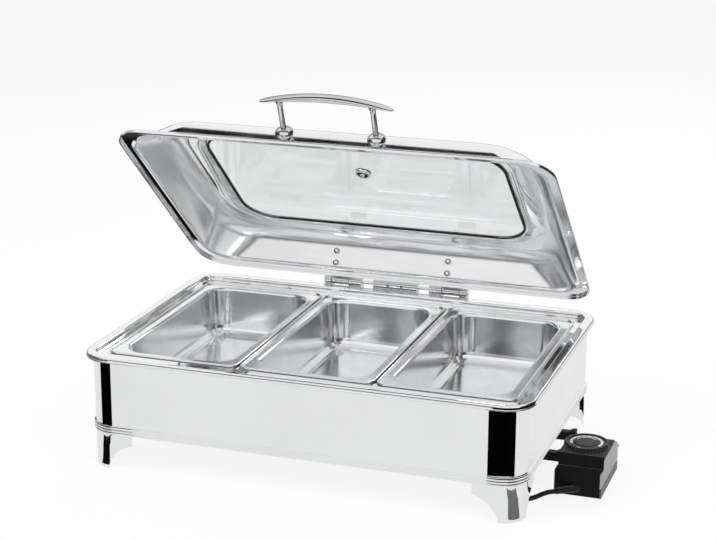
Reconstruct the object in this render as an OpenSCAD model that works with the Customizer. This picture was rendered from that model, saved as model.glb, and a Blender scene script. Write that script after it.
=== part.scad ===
// Electric chafing dish: mirror-polished body on four stamped feet, a water pan with three food pans,
// a hinged lid with a glass window, and a dial controller on two arms beside the body.
// Millimetres, +Z up, front towards -Y, standing on Z = 0.

/* [Food pans] */
// Width of one food pan over its flange
pan_w = 176; // [160:1:190]
// Front-to-back size of one food pan over its flange
pan_d = 325; // [300:1:345]
// Depth of a food pan below its flange
pan_deep = 65; // [45:1:66]
// Gap between neighbouring pan flanges
pan_gap = 2.4; // [1.5:0.1:4]
// Width of a pan's flange
pan_flange = 11; // [10.5:0.5:14]
// Radius of the rolled edge of a pan's flange
pan_roll = 1.5; // [1:0.1:2]
// Corner radius of a pan's flange
pan_flange_r = 13; // [8:1:18]
// Corner radius of a pan's mouth
pan_mouth_r = 32; // [28:1:40]
// Bend radius between a pan's flange and its wall
pan_lip_r = 4; // [3:0.5:6]
// Bend radius between a pan's wall and its floor
pan_floor_r = 14; // [10:1:18]
// Draft of the pan walls, in degrees
pan_draft = 6; // [3:0.5:8]
// Sheet of the food pans
pan_sheet = 0.9; // [0.7:0.1:1.2]

/* [Body] */
// Margin from the outer pan flanges to the body's side walls
side_margin = 16.6; // [16:0.1:30]
// Margin from the pan flanges to the body's front and rear walls
front_margin = 27.5; // [22:0.5:40]
// Corner radius of the body's wall
body_r = 32; // [26:1:40]
// Height of the body, from its underside to the top of its rim
body_h = 104; // [102:1:130]
// Sheet of the body's wall, the water pan and the lid
sheet = 1.2; // [0.8:0.1:1.6]
// Thickness of the base plate
plate_t = 1.5; // [1.2:0.1:2.5]
// Height of the beaded band
band_h = 11; // [9:1:16]
// Thickness of the beaded band between its beads
band_t = 1.2; // [0.8:0.1:2]
// Radius of the band's beads
bead_r = 1.1; // [0.6:0.1:1.1]
// Length of a vent slot in the base plate
vent_len = 60; // [30:1:80]
// Width of a vent slot
vent_w = 6; // [3:0.5:10]

/* [Rim and water pan] */
// Overhang of the rim past the body's wall
rim_over = 8; // [6:0.5:10]
// Corner radius of the rim
rim_r = 37; // [30:1:46]
// Height of the rim's turned-down lip
lip_h = 7.5; // [6:0.5:11]
// Bend radius of the lip
lip_r = 3.5; // [2.5:0.5:5]
// Radius of the rolled edge under the lip
lip_roll = 1.3; // [0.8:0.1:1.5]
// How far the lip's face stands in from its rolled edge
lip_set = 0.6; // [0.3:0.1:1]
// Width of the rim's flat top at the sides, from the lip to the recess for the pans
flat_side = 13.6; // [12:0.1:16]
// Width of the rim's flat top at the front and the rear
flat_front = 17.5; // [14:0.5:20]
// Corner radius of the recess
recess_r = 16; // [12:1:24]
// Bend radius at the top and the foot of the recess
recess_bend = 2.4; // [1.6:0.1:2.4]
// Drop from the rim's top to the pan flanges
pan_drop = 6; // [4:0.5:9]
// How far the ledge reaches under the pan flanges
ledge = 8; // [6:0.5:9]
// Room for water under the food pans
water_gap = 11; // [8:1:13]
// Corner radius of the water pan's well
well_r = 34; // [30:1:44]
// Bend radius between the well's wall and its floor
well_floor_r = 16; // [12:1:20]
// Draft of the well's walls, in degrees
well_draft = 2; // [1:0.5:3]

/* [Feet] */
// Height of the feet
foot_h = 47; // [42:1:60]
// Length of a foot's wings
wing_len = 61; // [50:1:75]
// Radius of the arch cut out of each wing
arch_r = 41; // [36:1:44]
// Depth of the arch's centre below the floor
arch_low = 8; // [4:1:12]
// Distance of the arch's centre past the wing's end
arch_past = 7; // [4:1:12]
// Sheet of the feet
foot_t = 1.6; // [1.2:0.1:2.5]
// Side of the foot's top plate
foot_tab = 44; // [38:1:50]

/* [Lid] */
// Gap between the lid's edge and the rim's edge at the sides
lid_side_in = 7; // [4:0.5:12]
// Gap between the lid's edge and the rim's edge at the front
lid_front_in = 4; // [2:0.5:10]
// Gap between the lid's edge and the rim's edge at the rear
lid_rear_in = 12; // [9:0.5:16]
// Height of the lid from its edge to its flat crown
lid_h = 48; // [42:1:60]
// Corner radius of the lid's edge
lid_r = 28; // [22:1:40]
// Width of the lid's flange
lid_flange = 13.8; // [12:0.1:16]
// Slope of the lid's walls, in degrees from flat
lid_slope = 62; // [56:1:68]
// Radius of the shoulder between wall and crown
shoulder_r = 30; // [24:1:34]
// Height of the lid's turned-down edge
lid_edge = 5; // [3:0.5:6]
// Flat border between the shoulder and the window's beads, at the sides
border_side = 16.9; // [8:0.1:40]
// Flat border between the shoulder and the window's beads, at the front and rear
border_front = 10.9; // [4:0.1:30]
// Width of one bead round the window
bead_w = 3.6; // [2.4:0.1:5]
// Height of the beads round the window
bead_up = 0.9; // [0.5:0.1:1.2]
// Corner radius of the glass that shows
window_r = 40; // [24:1:60]
// Thickness of the glass
glass_t = 4; // [3:0.5:5]
// Cover of the gasket over the glass's edge
gasket_in = 2.5; // [2:0.1:4]
// Cover of the gasket over the lid's sheet
gasket_out = 2; // [1.5:0.1:3]
// Thickness of the gasket's lips
gasket_lip = 1.2; // [0.8:0.1:2]
// Distance of the steam vent in front of the lid's middle
vent_front = 42; // [20:1:80]
// Distance of the steam vent to the right of the lid's middle
vent_side = 5; // [-20:1:20]
// Radius of the steam vent's flange
eyelet_r = 7; // [5:0.5:9]
// Angle by which the lid stands open
lid_open = 41.4; // [0:0.1:95]

/* [Handle] */
// Distance between the handle's posts
post_span = 120; // [90:1:150]
// Length of the handle's bar
bar_len = 172; // [150:1:200]
// Height of the bar's underside above the lid's wall, at its middle
bar_low = 57.5; // [50:0.5:70]
// Thickness of the bar at its middle
bar_t = 7.5; // [6:0.5:10]
// Rise of the bar's top from its ends to its middle
bar_rise = 13; // [11:0.5:16]
// Width of the bar at its middle
bar_w = 14; // [11:0.5:18]
// Radius of the posts
post_r = 3.4; // [3.2:0.1:4.2]
// Radius of the flare under the bar
flare_r = 6; // [5:0.1:6.5]
// Radius of the dome at a post's foot
dome_r = 11.5; // [9:0.5:12]
// Height of the dome at a post's foot
dome_h = 14; // [10:0.5:18]

/* [Hinge] */
// Distance of the hinge axis behind the rim's edge
hinge_out = 8; // [7:0.5:12]
// Height of the hinge axis above the rim's top
hinge_up = 5; // [5:0.5:9]
// Radius of the hinge pin
pin_r = 3; // [2:0.1:3.5]
// Radius of the bracket's barrels
barrel_r = 7; // [6.5:0.1:7.3]
// Radius of the arms' knuckles
knuckle_r = 6.5; // [5.5:0.1:6.5]
// Distance of each arm's middle from the dish's middle
arm_x = 81; // [70:1:100]
// Width of a hinge arm
arm_w = 24; // [18:1:30]
// Thickness of a hinge arm's strap
strap_t = 2.5; // [2:0.1:3]
// Thickness of a friction washer
washer_t = 1; // [0.6:0.1:2]
// Running clearance of the arms on the pin
pin_clear = 0.05; // [0.02:0.01:0.1]
// Radius of the rivets
rivet_r = 2.2; // [1.5:0.1:3]

/* [Controller] */
// Gap between the body's side wall and the controller
ctl_gap = 14; // [12:0.5:20]
// Width of the controller's base and of its cover
ctl_w = 57; // [56:1:66]
// Front face of the controller in front of the dish's middle
ctl_front = 79; // [70:1:100]
// Front-to-back size of the controller's underside
ctl_d = 103; // [98:1:120]
// Front-to-back size of the controller's flat top
ctl_top_d = 64; // [60:1:70]
// Height of the controller's flat top
ctl_h = 54; // [50:1:60]
// Height of the controller's upright rear face
ctl_rear_h = 28; // [22:1:30]
// Height of the seam between base and cover
ctl_split = 38; // [35:1:42]
// Sideways step of the cover from the base
ctl_step = 4; // [2:0.5:5]
// Height of the slanting sides under the seam
ctl_slant = 7; // [4:0.5:10]
// Thickness of the ribbed side panel
panel_t = 2; // [1.5:0.1:3]
// Number of grooves in the ribbed side panel
panel_grooves = 11; // [4:1:14]
// Radius of the dial
dial_r = 28; // [20:0.5:28]
// Height of the dial
dial_h = 6; // [4:0.5:10]
// Number of grip flutes round the dial
dial_flutes = 36; // [12:1:48]
// Radius of the dial's shaft
shaft_r = 3; // [2:0.1:4]
// Height of the controller's arms where they run under the body
bracket_h = 11; // [9:0.5:12]
// Width of a controller arm
bracket_w = 11; // [9:0.5:16]
// Middle of the front arm in front of the dish's middle
bracket_front = 60; // [52:1:66]
// Middle of the rear arm behind the dish's middle
bracket_rear = 13; // [4:1:16]
// Reach of the arms under the body
bracket_reach = 42; // [36:1:60]

/* [Heater] */
// Length of the heat spreader
spread_w = 330; // [260:1:380]
// Front-to-back size of the heat spreader
spread_d = 180; // [150:1:220]
// Thickness of the heat spreader
spread_t = 3; // [2:0.5:3]
// Radius of the tubular heating element
element_r = 3.5; // [3:0.1:3.5]
// Distance between the element's two runs
element_span = 100; // [70:1:110]
// Front-to-back size of a clip that holds the element
clip_w = 26; // [24:1:32]

/* [Screws] */
// Radius of the screws' shanks
screw_r = 2; // [1.5:0.1:2.5]
// Radius of the screws' heads
head_r = 4; // [3:0.1:4.5]
// Height of the screws' heads
head_h = 2.2; // [1.5:0.1:3]
// Clearance round the screws
screw_clear = 0.1; // [0.05:0.05:0.3]
// Gap between pieces that move past each other
run_gap = 0.3; // [0.2:0.1:0.6]

/* [Cord] */
// Diameter of the mains cord
cord_d = 6; // [5:0.5:6.5]
// Turns of the stored coil
coil_turns = 5.25; // [3.25:1:5.25]
// Outer radius of the coil, at the middle of its cord
coil_r = 42; // [40:1:48]
// Distance between neighbouring turns
coil_pitch = 6.6; // [6.5:0.1:8]
// Thickness of the tie round the coil
tie_t = 0.9; // [0.6:0.1:1.2]
// Width of the tie
tie_w = 12; // [8:1:20]

/* [Hidden] */
$fn = 64;
bite = 0.2;
seat = 0.02;

// Plan sizes of the body, from the pans outwards
pan_pitch = pan_w + pan_gap;
pans_w = 3 * pan_w + 2 * pan_gap;
body_w = pans_w + 2 * side_margin;
body_d = pan_d + 2 * front_margin;
rim_w = body_w + 2 * rim_over;
rim_d = body_d + 2 * rim_over;
lip_in = lip_set + lip_r + 1;
recess_w = rim_w - 2 * flat_side;
recess_d = rim_d - 2 * flat_front;
well_w = pans_w - 2 * ledge;
well_d = pan_d - 2 * ledge;

// Heights above the floor
rim_z = foot_h + body_h;
pan_z = rim_z - pan_drop;
ledge_z = pan_z - pan_sheet - run_gap;
well_deep = pan_deep + pan_sheet + water_gap - pan_sheet - run_gap;
well_z = ledge_z - well_deep;
plate_z = foot_h + plate_t;
spread_z = well_z - sheet - spread_t;
element_z = spread_z - element_r;

// Hinge axis and lid
pivot_y = rim_d / 2 + hinge_out;
pivot_z = rim_z + hinge_up;
lid_gap = 0.5;
lid_z = rim_z + lid_gap;
lid_w = rim_w - 2 * lid_side_in;
lid_front = -rim_d / 2 + lid_front_in;
lid_rear = rim_d / 2 - lid_rear_in;
lid_d = lid_rear - lid_front;
lid_mid = (lid_rear + lid_front) / 2;
wall_in = lid_flange + 2;
wall_low = lid_edge + 2;
shoulder_h = shoulder_r * (1 - cos(lid_slope));
wall_high = lid_h - shoulder_h;
wall_run = (wall_high - wall_low) / tan(lid_slope);
wall_len = (wall_high - wall_low) / sin(lid_slope);
shoulder_in = wall_in + wall_run;
crown_in = shoulder_in + shoulder_r * sin(lid_slope);
bead_count = 2;
bead_band = gasket_out + bead_w * (bead_count + 0.5);
hole_w = round(lid_w - 2 * (crown_in + border_side + bead_band));
hole_d = round(lid_d - 2 * (crown_in + border_front + bead_band));
hole_r = window_r + gasket_in;
crown_r = hole_r + bead_band + 4.5;
glass_edge = 0.5;
groove_clear = 0.35;

// The lid's section: distance in from its edge, and height above its edge
lid_section = concat(
    [[0, 0], [0, lid_edge - 1.4], [1.2, lid_edge - 0.2], [lid_flange, lid_edge], [wall_in, wall_low]],
    [for (a = [lid_slope : -lid_slope / 5 : 0.01])
        [shoulder_in + shoulder_r * (sin(lid_slope) - sin(a)), lid_h - shoulder_r * (1 - cos(a))]],
    [[crown_in, lid_h], [crown_in + 1, lid_h]]
);
// Corner radius of the lid against the distance in from its edge
corner_table = [[0, lid_r], [lid_flange, lid_r - 6], [wall_in, lid_r - 6],
    [shoulder_in, lid_r + 8], [crown_in, crown_r], [crown_in + 1, crown_r]];
corner_steps = 7;

// Handle, in the frame of the lid's front wall
handle_up = wall_len / 2 + 2;
bar_top_r = (pow(bar_len / 2, 2) + pow(bar_rise, 2)) / (2 * bar_rise);
bar_sag = bar_rise - bar_t + 1.5;
bar_low_r = (pow(bar_len / 2, 2) + pow(bar_sag, 2)) / (2 * bar_sag);
bar_slim = 2;
bar_plan_r = (pow(bar_len / 2, 2) + pow(bar_slim, 2)) / (2 * bar_slim);
post_top = bar_under(post_span / 2 - flare_r - 1) + 0.4;
stud_h = 0.6 * (bar_over(post_span / 2 + screw_r) - post_top);
screw_deep = 12;

// Hinge
inner_lug = 18;
outer_lug = 10;
lug_in = arm_x - arm_w / 2 - washer_t - inner_lug;
lug_out = arm_x + arm_w / 2 + washer_t + outer_lug;
centre_half = 32;
bracket_t = 2.5;
shelf_z = rim_z - lip_h - 6;
bracket_low = shelf_z - 24;
bracket_screw_x = arm_x + 8;
pin_head = 2;
bracket_back = pivot_y + barrel_r;
web_front = rim_d / 2 + 2;
washer_r = barrel_r - 0.2;
strap_z = lid_z + lid_edge + 0.4;
rivet_steps = [wall_len * 0.22, wall_len * 0.8];
rivet_head = 1.8;

// Controller
ctl_x0 = body_w / 2 + ctl_gap;
ctl_x1 = ctl_x0 + ctl_w;
ctl_y0 = -ctl_front;
ctl_y1 = ctl_y0 + ctl_d;
panel_x1 = ctl_x1 + ctl_step + panel_t;
panel_top = ctl_h - 3;
groove_deep = 0.7;
dial_x = (ctl_x0 + ctl_x1) / 2 + ctl_step;
dial_y = ctl_y0 + ctl_top_d / 2;
dial_gap = 0.5;
dial_z = ctl_h + dial_gap;
arm_z = foot_h - bracket_h;
arm_hump = 14;
arm_plug = 3;
arm_inset = 9;
tab_near = 12;
tab_far = foot_tab - 8;
vent_gap = 20;
clip_len = 12;
block_gap = 14;
block_w = 32;
block_side = 12;
block_deep = 26;

// Where the whole stands: the middle of its outline is over the origin
origin_x = (panel_x1 - rim_w / 2) / 2;
origin_y = (bracket_back - rim_d / 2) / 2;

// Cord: out of the controller's front, round behind the front foot and back under the body
relief_base = [ctl_x0 + 26, ctl_y0, 9];
relief_tip = relief_base + [-20, -15, 0];
relief_grow = 1.6;
cord_z = cord_d / 2 + 0.2;
coil_mid = [body_w / 2 - 149, body_d / 2 + 62];
coil_z = cord_d / 2 + tie_t + 0.3;
coil_start = [coil_mid[0] + coil_r, coil_mid[1] - cord_d, coil_z];
// Points counted from the body's front right corner, with heights above the floor run
route_front = [
    [5.5, 85, 4.2], [-1, 80, 1.8], [-7.5, 75.5, 0.4], [-15, 71.5, 0], [-28, 68, 0], [-43, 71, 0],
    [-54, 82, 0], [-58, 97, 0], [-60, 115, 0], [-63, 135, 0], [-67, 160, 0]
];
// Points counted from the body's rear right corner
route_rear = [
    [-75, -170, 0], [-79, -145, 0], [-83, -120, 0], [-87, -95, 0], [-91, -70, 0], [-95, -45, 0],
    [-99, -20, 0], [-103, 3, 0], [-106, 22, 0.4]
];
route = concat(
    [for (k = [0 : 2]) relief_tip + 5 * k * unit(relief_tip - relief_base)],
    [for (p = route_front) p + [body_w / 2, -body_d / 2, cord_z]],
    [for (p = route_rear) p + [body_w / 2, body_d / 2, cord_z]],
    [for (k = [2 : -1 : 0]) coil_start - [0, 10 * k, 0]]
);
coil_half = coil_turns * 180;
coil_in = coil_r - coil_pitch * coil_turns / 2;
coil_step = 15;
tie_at = 200;
plug_len = 34;
plug_w = 26;
plug_h = 17;
plug_relief = 24;

// Plain helpers

module placed() {
    translate([-origin_x, -origin_y, 0])
        children();
}

module swung() {
    translate([0, pivot_y, pivot_z])
        rotate([-lid_open, 0, 0])
            translate([0, -pivot_y, -pivot_z])
                children();
}

// A rounded rectangle about the origin
module rounded(w, d, r) {
    square([w - 2 * r, d], center = true);
    square([w, d - 2 * r], center = true);
    for (sx = [-1, 1], sy = [-1, 1])
        translate([sx * (w / 2 - r), sy * (d / 2 - r)])
            circle(r);
}

// A flat plate or frame: rounded outline, with a rounded hole if its sizes are given
module slab(z0, z1, outer, inner = undef) {
    translate([0, 0, z0])
        linear_extrude(z1 - z0)
            difference() {
                rounded(outer[0], outer[1], outer[2]);
                if (inner != undef)
                    rounded(inner[0], inner[1], inner[2]);
            }
}

// A section carried round a rounded rectangle: x of the section points outwards, y points up
module carried(w, d, r) {
    for (turn = [0, 180])
        rotate(turn) {
            translate([w / 2, d / 2 - r, 0])
                rotate([90, 0, 0])
                    linear_extrude(d - 2 * r)
                        children();
            translate([r - w / 2, d / 2, 0])
                rotate([90, 0, 90])
                    linear_extrude(w - 2 * r)
                        children();
            translate([w / 2 - r, d / 2 - r, 0])
                rotate_extrude(angle = 90)
                    translate([r, 0])
                        children();
            translate([r - w / 2, d / 2 - r, 0])
                rotate(90)
                    rotate_extrude(angle = 90)
                        translate([r, 0])
                            children();
        }
}

function arc(centre, r, a0, a1, steps = 5) =
    [for (i = [0 : steps])
        let (a = a0 + (a1 - a0) * i / steps)
        [centre[0] + r * cos(a), centre[1] + r * sin(a)]];

function flipped(list) = [for (i = [len(list) - 1 : -1 : 0]) list[i]];

// How far a drawn wall has come in at the foot of its floor bend
function bowl_in(deep, lip, floor_r, draft) = lip + (deep - lip - floor_r) * tan(draft) + floor_r;

// The inner face of a drawn bowl, from the flange down to the floor
function bowl_face(deep, lip, floor_r, draft, grow) =
    let (foot = lip + (deep - lip - floor_r) * tan(draft))
    concat(
        arc([0, -lip], lip - grow, 90, 180 - draft),
        arc([-foot - floor_r, floor_r - deep], floor_r + grow, -draft, -90)
    );

// A bowl drawn down from a rounded mouth: lip bend, drafted wall, floor bend and floor, top at Z = 0
module bowl(w, d, r, deep, lip, floor_r, draft, t) {
    inset = bowl_in(deep, lip, floor_r, draft);
    inner = bowl_face(deep, lip, floor_r, draft, 0);
    outer = bowl_face(deep, lip, floor_r, draft, t);
    carried(w, d, r)
        polygon(concat([[bite, 0]], inner, [[-inset - bite, -deep], [-inset - bite, -deep - t]],
            flipped(outer), [[bite, -t]]));
    slab(-deep - t, -deep, [w - 2 * inset, d - 2 * inset, r - inset]);
}

// A pan-head screw along Z: underside of the head at Z = 0, shank upwards
module screw(len) {
    cylinder(h = len, r = screw_r);
    translate([0, 0, -head_h])
        cylinder(h = head_h, r = head_r);
}

module screw_hole(len) {
    translate([0, 0, -bite])
        cylinder(h = len + 2 * bite, r = screw_r + screw_clear);
}

// Body

module body_shell() {
    color([0.86, 0.87, 0.88])
        placed()
            difference() {
                slab(plate_z, rim_z - sheet, [body_w, body_d, body_r],
                    [body_w - 2 * sheet, body_d - 2 * sheet, body_r - sheet]);
                bracket_screws_at()
                    screw_hole(bracket_t + sheet);
            }
}

module base_band() {
    color([0.8, 0.81, 0.82])
        placed()
            translate([0, 0, foot_h])
                carried(body_w, body_d, body_r) {
                    square([band_t, band_h]);
                    for (k = [1, 3, 5])
                        translate([band_t, k * band_h / 6])
                            circle(bead_r);
                }
}

module foot_screws_at() {
    for (sx = [-1, 1], sy = [-1, 1], k = [0, 1])
        translate([
            sx * (body_w / 2 - foot_t - (k == 0 ? tab_near : tab_far)),
            sy * (body_d / 2 - foot_t - (k == 0 ? tab_far : tab_near)),
            foot_h - foot_t
        ])
            children();
}

module arm_screws_at() {
    for (y = [-bracket_front, bracket_rear], k = [arm_inset, bracket_reach - arm_inset])
        translate([body_w / 2 - k, y, arm_z])
            children();
}

module base_plate() {
    color([0.7, 0.71, 0.72])
        placed()
            difference() {
                slab(foot_h, plate_z, [body_w, body_d, body_r]);
                foot_screws_at()
                    screw_hole(foot_t + plate_t);
                arm_screws_at()
                    screw_hole(bracket_h + plate_t);
                for (row = [-1, 1], k = [-2 : 2])
                    translate([k * (vent_len + vent_gap), row * body_d / 5, foot_h - bite])
                        linear_extrude(plate_t + 2 * bite)
                            rounded(vent_len, vent_w, vent_w / 2 - 0.01);
            }
}

module water_pan() {
    drop = rim_z - ledge_z;
    lip_mid = [-lip_set - lip_r, -lip_r];
    bend_top = [recess_bend, -recess_bend];
    bend_foot = [-recess_bend, recess_bend - drop];
    color([0.84, 0.85, 0.86])
        placed() {
            translate([0, 0, rim_z])
                carried(rim_w, rim_d, rim_r) {
                    polygon(concat(
                        [[-lip_set, lip_roll - lip_h]], arc(lip_mid, lip_r, 0, 90),
                        [[-lip_in, 0], [-lip_in, -sheet]],
                        flipped(arc(lip_mid, lip_r - sheet, 0, 90)), [[-lip_set - sheet, lip_roll - lip_h]]
                    ));
                    translate([-lip_roll, lip_roll - lip_h])
                        circle(lip_roll);
                }
            slab(rim_z - sheet, rim_z,
                [rim_w - 2 * lip_in + 2 * bite, rim_d - 2 * lip_in + 2 * bite, rim_r - lip_in + bite],
                [recess_w + 2 * recess_bend, recess_d + 2 * recess_bend, recess_r + recess_bend]);
            translate([0, 0, rim_z])
                carried(recess_w, recess_d, recess_r)
                    polygon(concat(
                        [[recess_bend + bite, 0]], arc(bend_top, recess_bend, 90, 180),
                        arc(bend_foot, recess_bend, 0, -90),
                        [[-recess_bend - bite, -drop], [-recess_bend - bite, -drop - sheet]],
                        flipped(arc(bend_foot, recess_bend + sheet, 0, -90)),
                        flipped(arc(bend_top, recess_bend - sheet, 90, 180)), [[recess_bend + bite, -sheet]]
                    ));
            slab(ledge_z - sheet, ledge_z,
                [recess_w - 2 * recess_bend, recess_d - 2 * recess_bend, recess_r - recess_bend],
                [well_w, well_d, well_r]);
            translate([0, 0, ledge_z])
                bowl(well_w, well_d, well_r, well_deep, pan_lip_r, well_floor_r, well_draft, sheet);
        }
}

module food_pan(k) {
    color([0.78, 0.79, 0.8])
        placed()
            translate([k * pan_pitch, 0, pan_z]) {
                slab(-pan_sheet, 0, [pan_w - 2 * pan_roll, pan_d - 2 * pan_roll, pan_flange_r - pan_roll],
                    [pan_w - 2 * pan_flange, pan_d - 2 * pan_flange, pan_mouth_r]);
                carried(pan_w, pan_d, pan_flange_r)
                    translate([-pan_roll, pan_roll - pan_sheet + 0.15])
                        circle(pan_roll);
                bowl(pan_w - 2 * pan_flange, pan_d - 2 * pan_flange, pan_mouth_r,
                    pan_deep, pan_lip_r, pan_floor_r, pan_draft, pan_sheet);
            }
}

module pan_left() {
    food_pan(-1);
}

module pan_middle() {
    food_pan(0);
}

module pan_right() {
    food_pan(1);
}

// Feet

// The foot under the right rear corner: a bent sheet with two arched wings and a plate on top
module corner_foot() {
    tip_x = body_w / 2 - wing_len;
    tip_y = body_d / 2 - wing_len;
    difference() {
        intersection() {
            slab(0, foot_h, [body_w, body_d, body_r],
                [body_w - 2 * foot_t, body_d - 2 * foot_t, body_r - foot_t]);
            translate([tip_x, tip_y, 0])
                cube([wing_len, wing_len, foot_h]);
        }
        translate([tip_x - arch_past, body_d / 2 + bite, -arch_low])
            rotate([90, 0, 0])
                cylinder(h = body_r, r = arch_r);
        translate([body_w / 2 + bite, tip_y - arch_past, -arch_low])
            rotate([0, -90, 0])
                cylinder(h = body_r, r = arch_r);
    }
    difference() {
        intersection() {
            slab(foot_h - foot_t, foot_h, [body_w - bite, body_d - bite, body_r - bite / 2]);
            translate([body_w / 2 - foot_tab, body_d / 2 - foot_tab, 0])
                cube([foot_tab, foot_tab, foot_h]);
        }
        foot_screws_at()
            screw_hole(foot_t);
    }
}

module foot(left, front) {
    color([0.82, 0.83, 0.84])
        placed()
            mirror([left ? 1 : 0, 0, 0])
                mirror([0, front ? 1 : 0, 0])
                    corner_foot();
}

module foot_front_left() {
    foot(true, true);
}

module foot_front_right() {
    foot(false, true);
}

module foot_rear_left() {
    foot(true, false);
}

module foot_rear_right() {
    foot(false, false);
}

module foot_screws() {
    color([0.6, 0.6, 0.62])
        placed()
            foot_screws_at()
                screw(foot_t + plate_t + 1);
}

// Heater

module clips_at() {
    for (sy = [-1, 1], x = [-spread_w / 4, spread_w / 4])
        translate([x, sy * element_span / 2, spread_z])
            children();
}

module clip_screws_at() {
    clips_at()
        for (s = [-1, 1])
            translate([0, s * (clip_w / 2 - 5), 2 * -element_r - 1])
                children();
}

module heat_spreader() {
    color([0.75, 0.76, 0.78])
        placed()
            difference() {
                slab(spread_z, spread_z + spread_t, [spread_w, spread_d, 20]);
                clip_screws_at()
                    screw_hole(2 * element_r + 1 + spread_t);
            }
}

// One hairpin of tube, pressed against the heat spreader
module heating_element() {
    bend_x = -spread_w / 2 + element_span / 2;
    color([0.5, 0.5, 0.5])
        placed()
            translate([0, 0, element_z]) {
                for (s = [-1, 1])
                    translate([bend_x, s * element_span / 2, 0])
                        rotate([0, 90, 0])
                            cylinder(h = spread_w / 2 + block_gap + block_deep - bend_x, r = element_r);
                translate([bend_x, 0, 0])
                    rotate(90)
                        rotate_extrude(angle = 180)
                            translate([element_span / 2, 0])
                                circle(element_r);
            }
}

module element_clips() {
    color([0.7, 0.7, 0.72])
        placed()
            difference() {
                clips_at()
                    translate([-clip_len / 2, -clip_w / 2, 2 * -element_r - 1])
                        cube([clip_len, clip_w, 2 * element_r + 1]);
                clips_at()
                    translate([-clip_len, 0, -element_r])
                        rotate([0, 90, 0])
                            cylinder(h = 2 * clip_len, r = element_r);
                clips_at()
                    translate([-clip_len, -element_r, -element_r])
                        cube([2 * clip_len, 2 * element_r, element_r + bite]);
                clip_screws_at()
                    screw_hole(2 * element_r + 1);
            }
}

module clip_screws() {
    color([0.6, 0.6, 0.62])
        placed()
            clip_screws_at()
                screw(2 * element_r + 1 + spread_t - bite);
}

module terminal_block() {
    block_x = spread_w / 2 + block_gap;
    color([0.9, 0.88, 0.84])
        placed()
            difference() {
                translate([block_x, -element_span / 2 - block_side, plate_z])
                    cube([block_w, element_span + 2 * block_side, element_z + element_r + 2 - plate_z]);
                for (s = [-1, 1])
                    translate([block_x - bite, s * element_span / 2, element_z])
                        rotate([0, 90, 0])
                            cylinder(h = block_deep + bite, r = element_r);
            }
}

// Hinge

module bracket_screws_at() {
    for (x = [-bracket_screw_x, -centre_half, centre_half, bracket_screw_x])
        translate([x, body_d / 2 + bracket_t, (shelf_z + bracket_low) / 2])
            rotate([90, 0, 0])
                children();
}

module along_x(x0, x1) {
    translate([x0, 0, 0])
        rotate([90, 0, 90])
            linear_extrude(x1 - x0)
                children();
}

// Plate on the rear wall, a shelf under the rim's lip, and barrels that stand up from the shelf
module hinge_bracket() {
    color([0.75, 0.76, 0.78])
        placed()
            difference() {
                union() {
                    translate([-lug_out, body_d / 2, bracket_low])
                        cube([2 * lug_out, bracket_t, shelf_z + bracket_t - bracket_low]);
                    translate([-lug_out, body_d / 2, shelf_z])
                        cube([2 * lug_out, bracket_back - body_d / 2, bracket_t]);
                    for (s = [-1, 1], span = [[lug_in, lug_in + inner_lug], [lug_out - outer_lug, lug_out]])
                        barrel(s > 0 ? span[0] : -span[1], s > 0 ? span[1] : -span[0]);
                    barrel(-centre_half, centre_half);
                }
                translate([-lug_out - 1, pivot_y, pivot_z])
                    rotate([0, 90, 0])
                        cylinder(h = 2 * lug_out + 2, r = pin_r);
                bracket_screws_at()
                    screw_hole(bracket_t);
            }
}

module barrel(x0, x1) {
    along_x(x0, x1) {
        translate([pivot_y, pivot_z])
            circle(barrel_r);
        translate([web_front, shelf_z])
            square([bracket_back - web_front, pivot_z - shelf_z]);
    }
}

module hinge_screws() {
    color([0.6, 0.6, 0.62])
        placed()
            bracket_screws_at()
                screw(bracket_t + sheet + 3);
}

module hinge_pin() {
    color([0.8, 0.8, 0.82])
        placed()
            translate([0, pivot_y, pivot_z])
                rotate([0, 90, 0]) {
                    translate([0, 0, -lug_out])
                        cylinder(h = 2 * lug_out, r = pin_r);
                    for (z = [-lug_out - pin_head, lug_out])
                        translate([0, 0, z])
                            cylinder(h = pin_head, r = pin_r + 1.5);
                }
}

module friction_washers() {
    color([0.25, 0.25, 0.26])
        placed()
            for (s = [-1, 1], side = [-1, 1])
                translate([s * (arm_x + side * (arm_w / 2 + washer_t / 2)), pivot_y, pivot_z])
                    rotate([0, 90, 0])
                        difference() {
                            cylinder(h = washer_t - 0.2, r = washer_r, center = true);
                            cylinder(h = washer_t + 1, r = pin_r, center = true);
                        }
}

// A point of the lid's rear wall in side view: distance up the wall, and out from it
function rear_wall_at(up, out) =
    [lid_rear - wall_in - up * cos(lid_slope) + out * sin(lid_slope),
        lid_z + wall_low + up * sin(lid_slope) + out * cos(lid_slope)];

// The frame of the lid's rear wall: X across, Y down the wall, Z outwards
module on_rear_wall(up) {
    translate([0, rear_wall_at(up, 0)[0], rear_wall_at(up, 0)[1]])
        rotate([-lid_slope, 0, 0])
            children();
}

module rivets_at(s) {
    for (up = rivet_steps)
        on_rear_wall(up)
            translate([s * arm_x, 0, 0])
                children();
}

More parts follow.
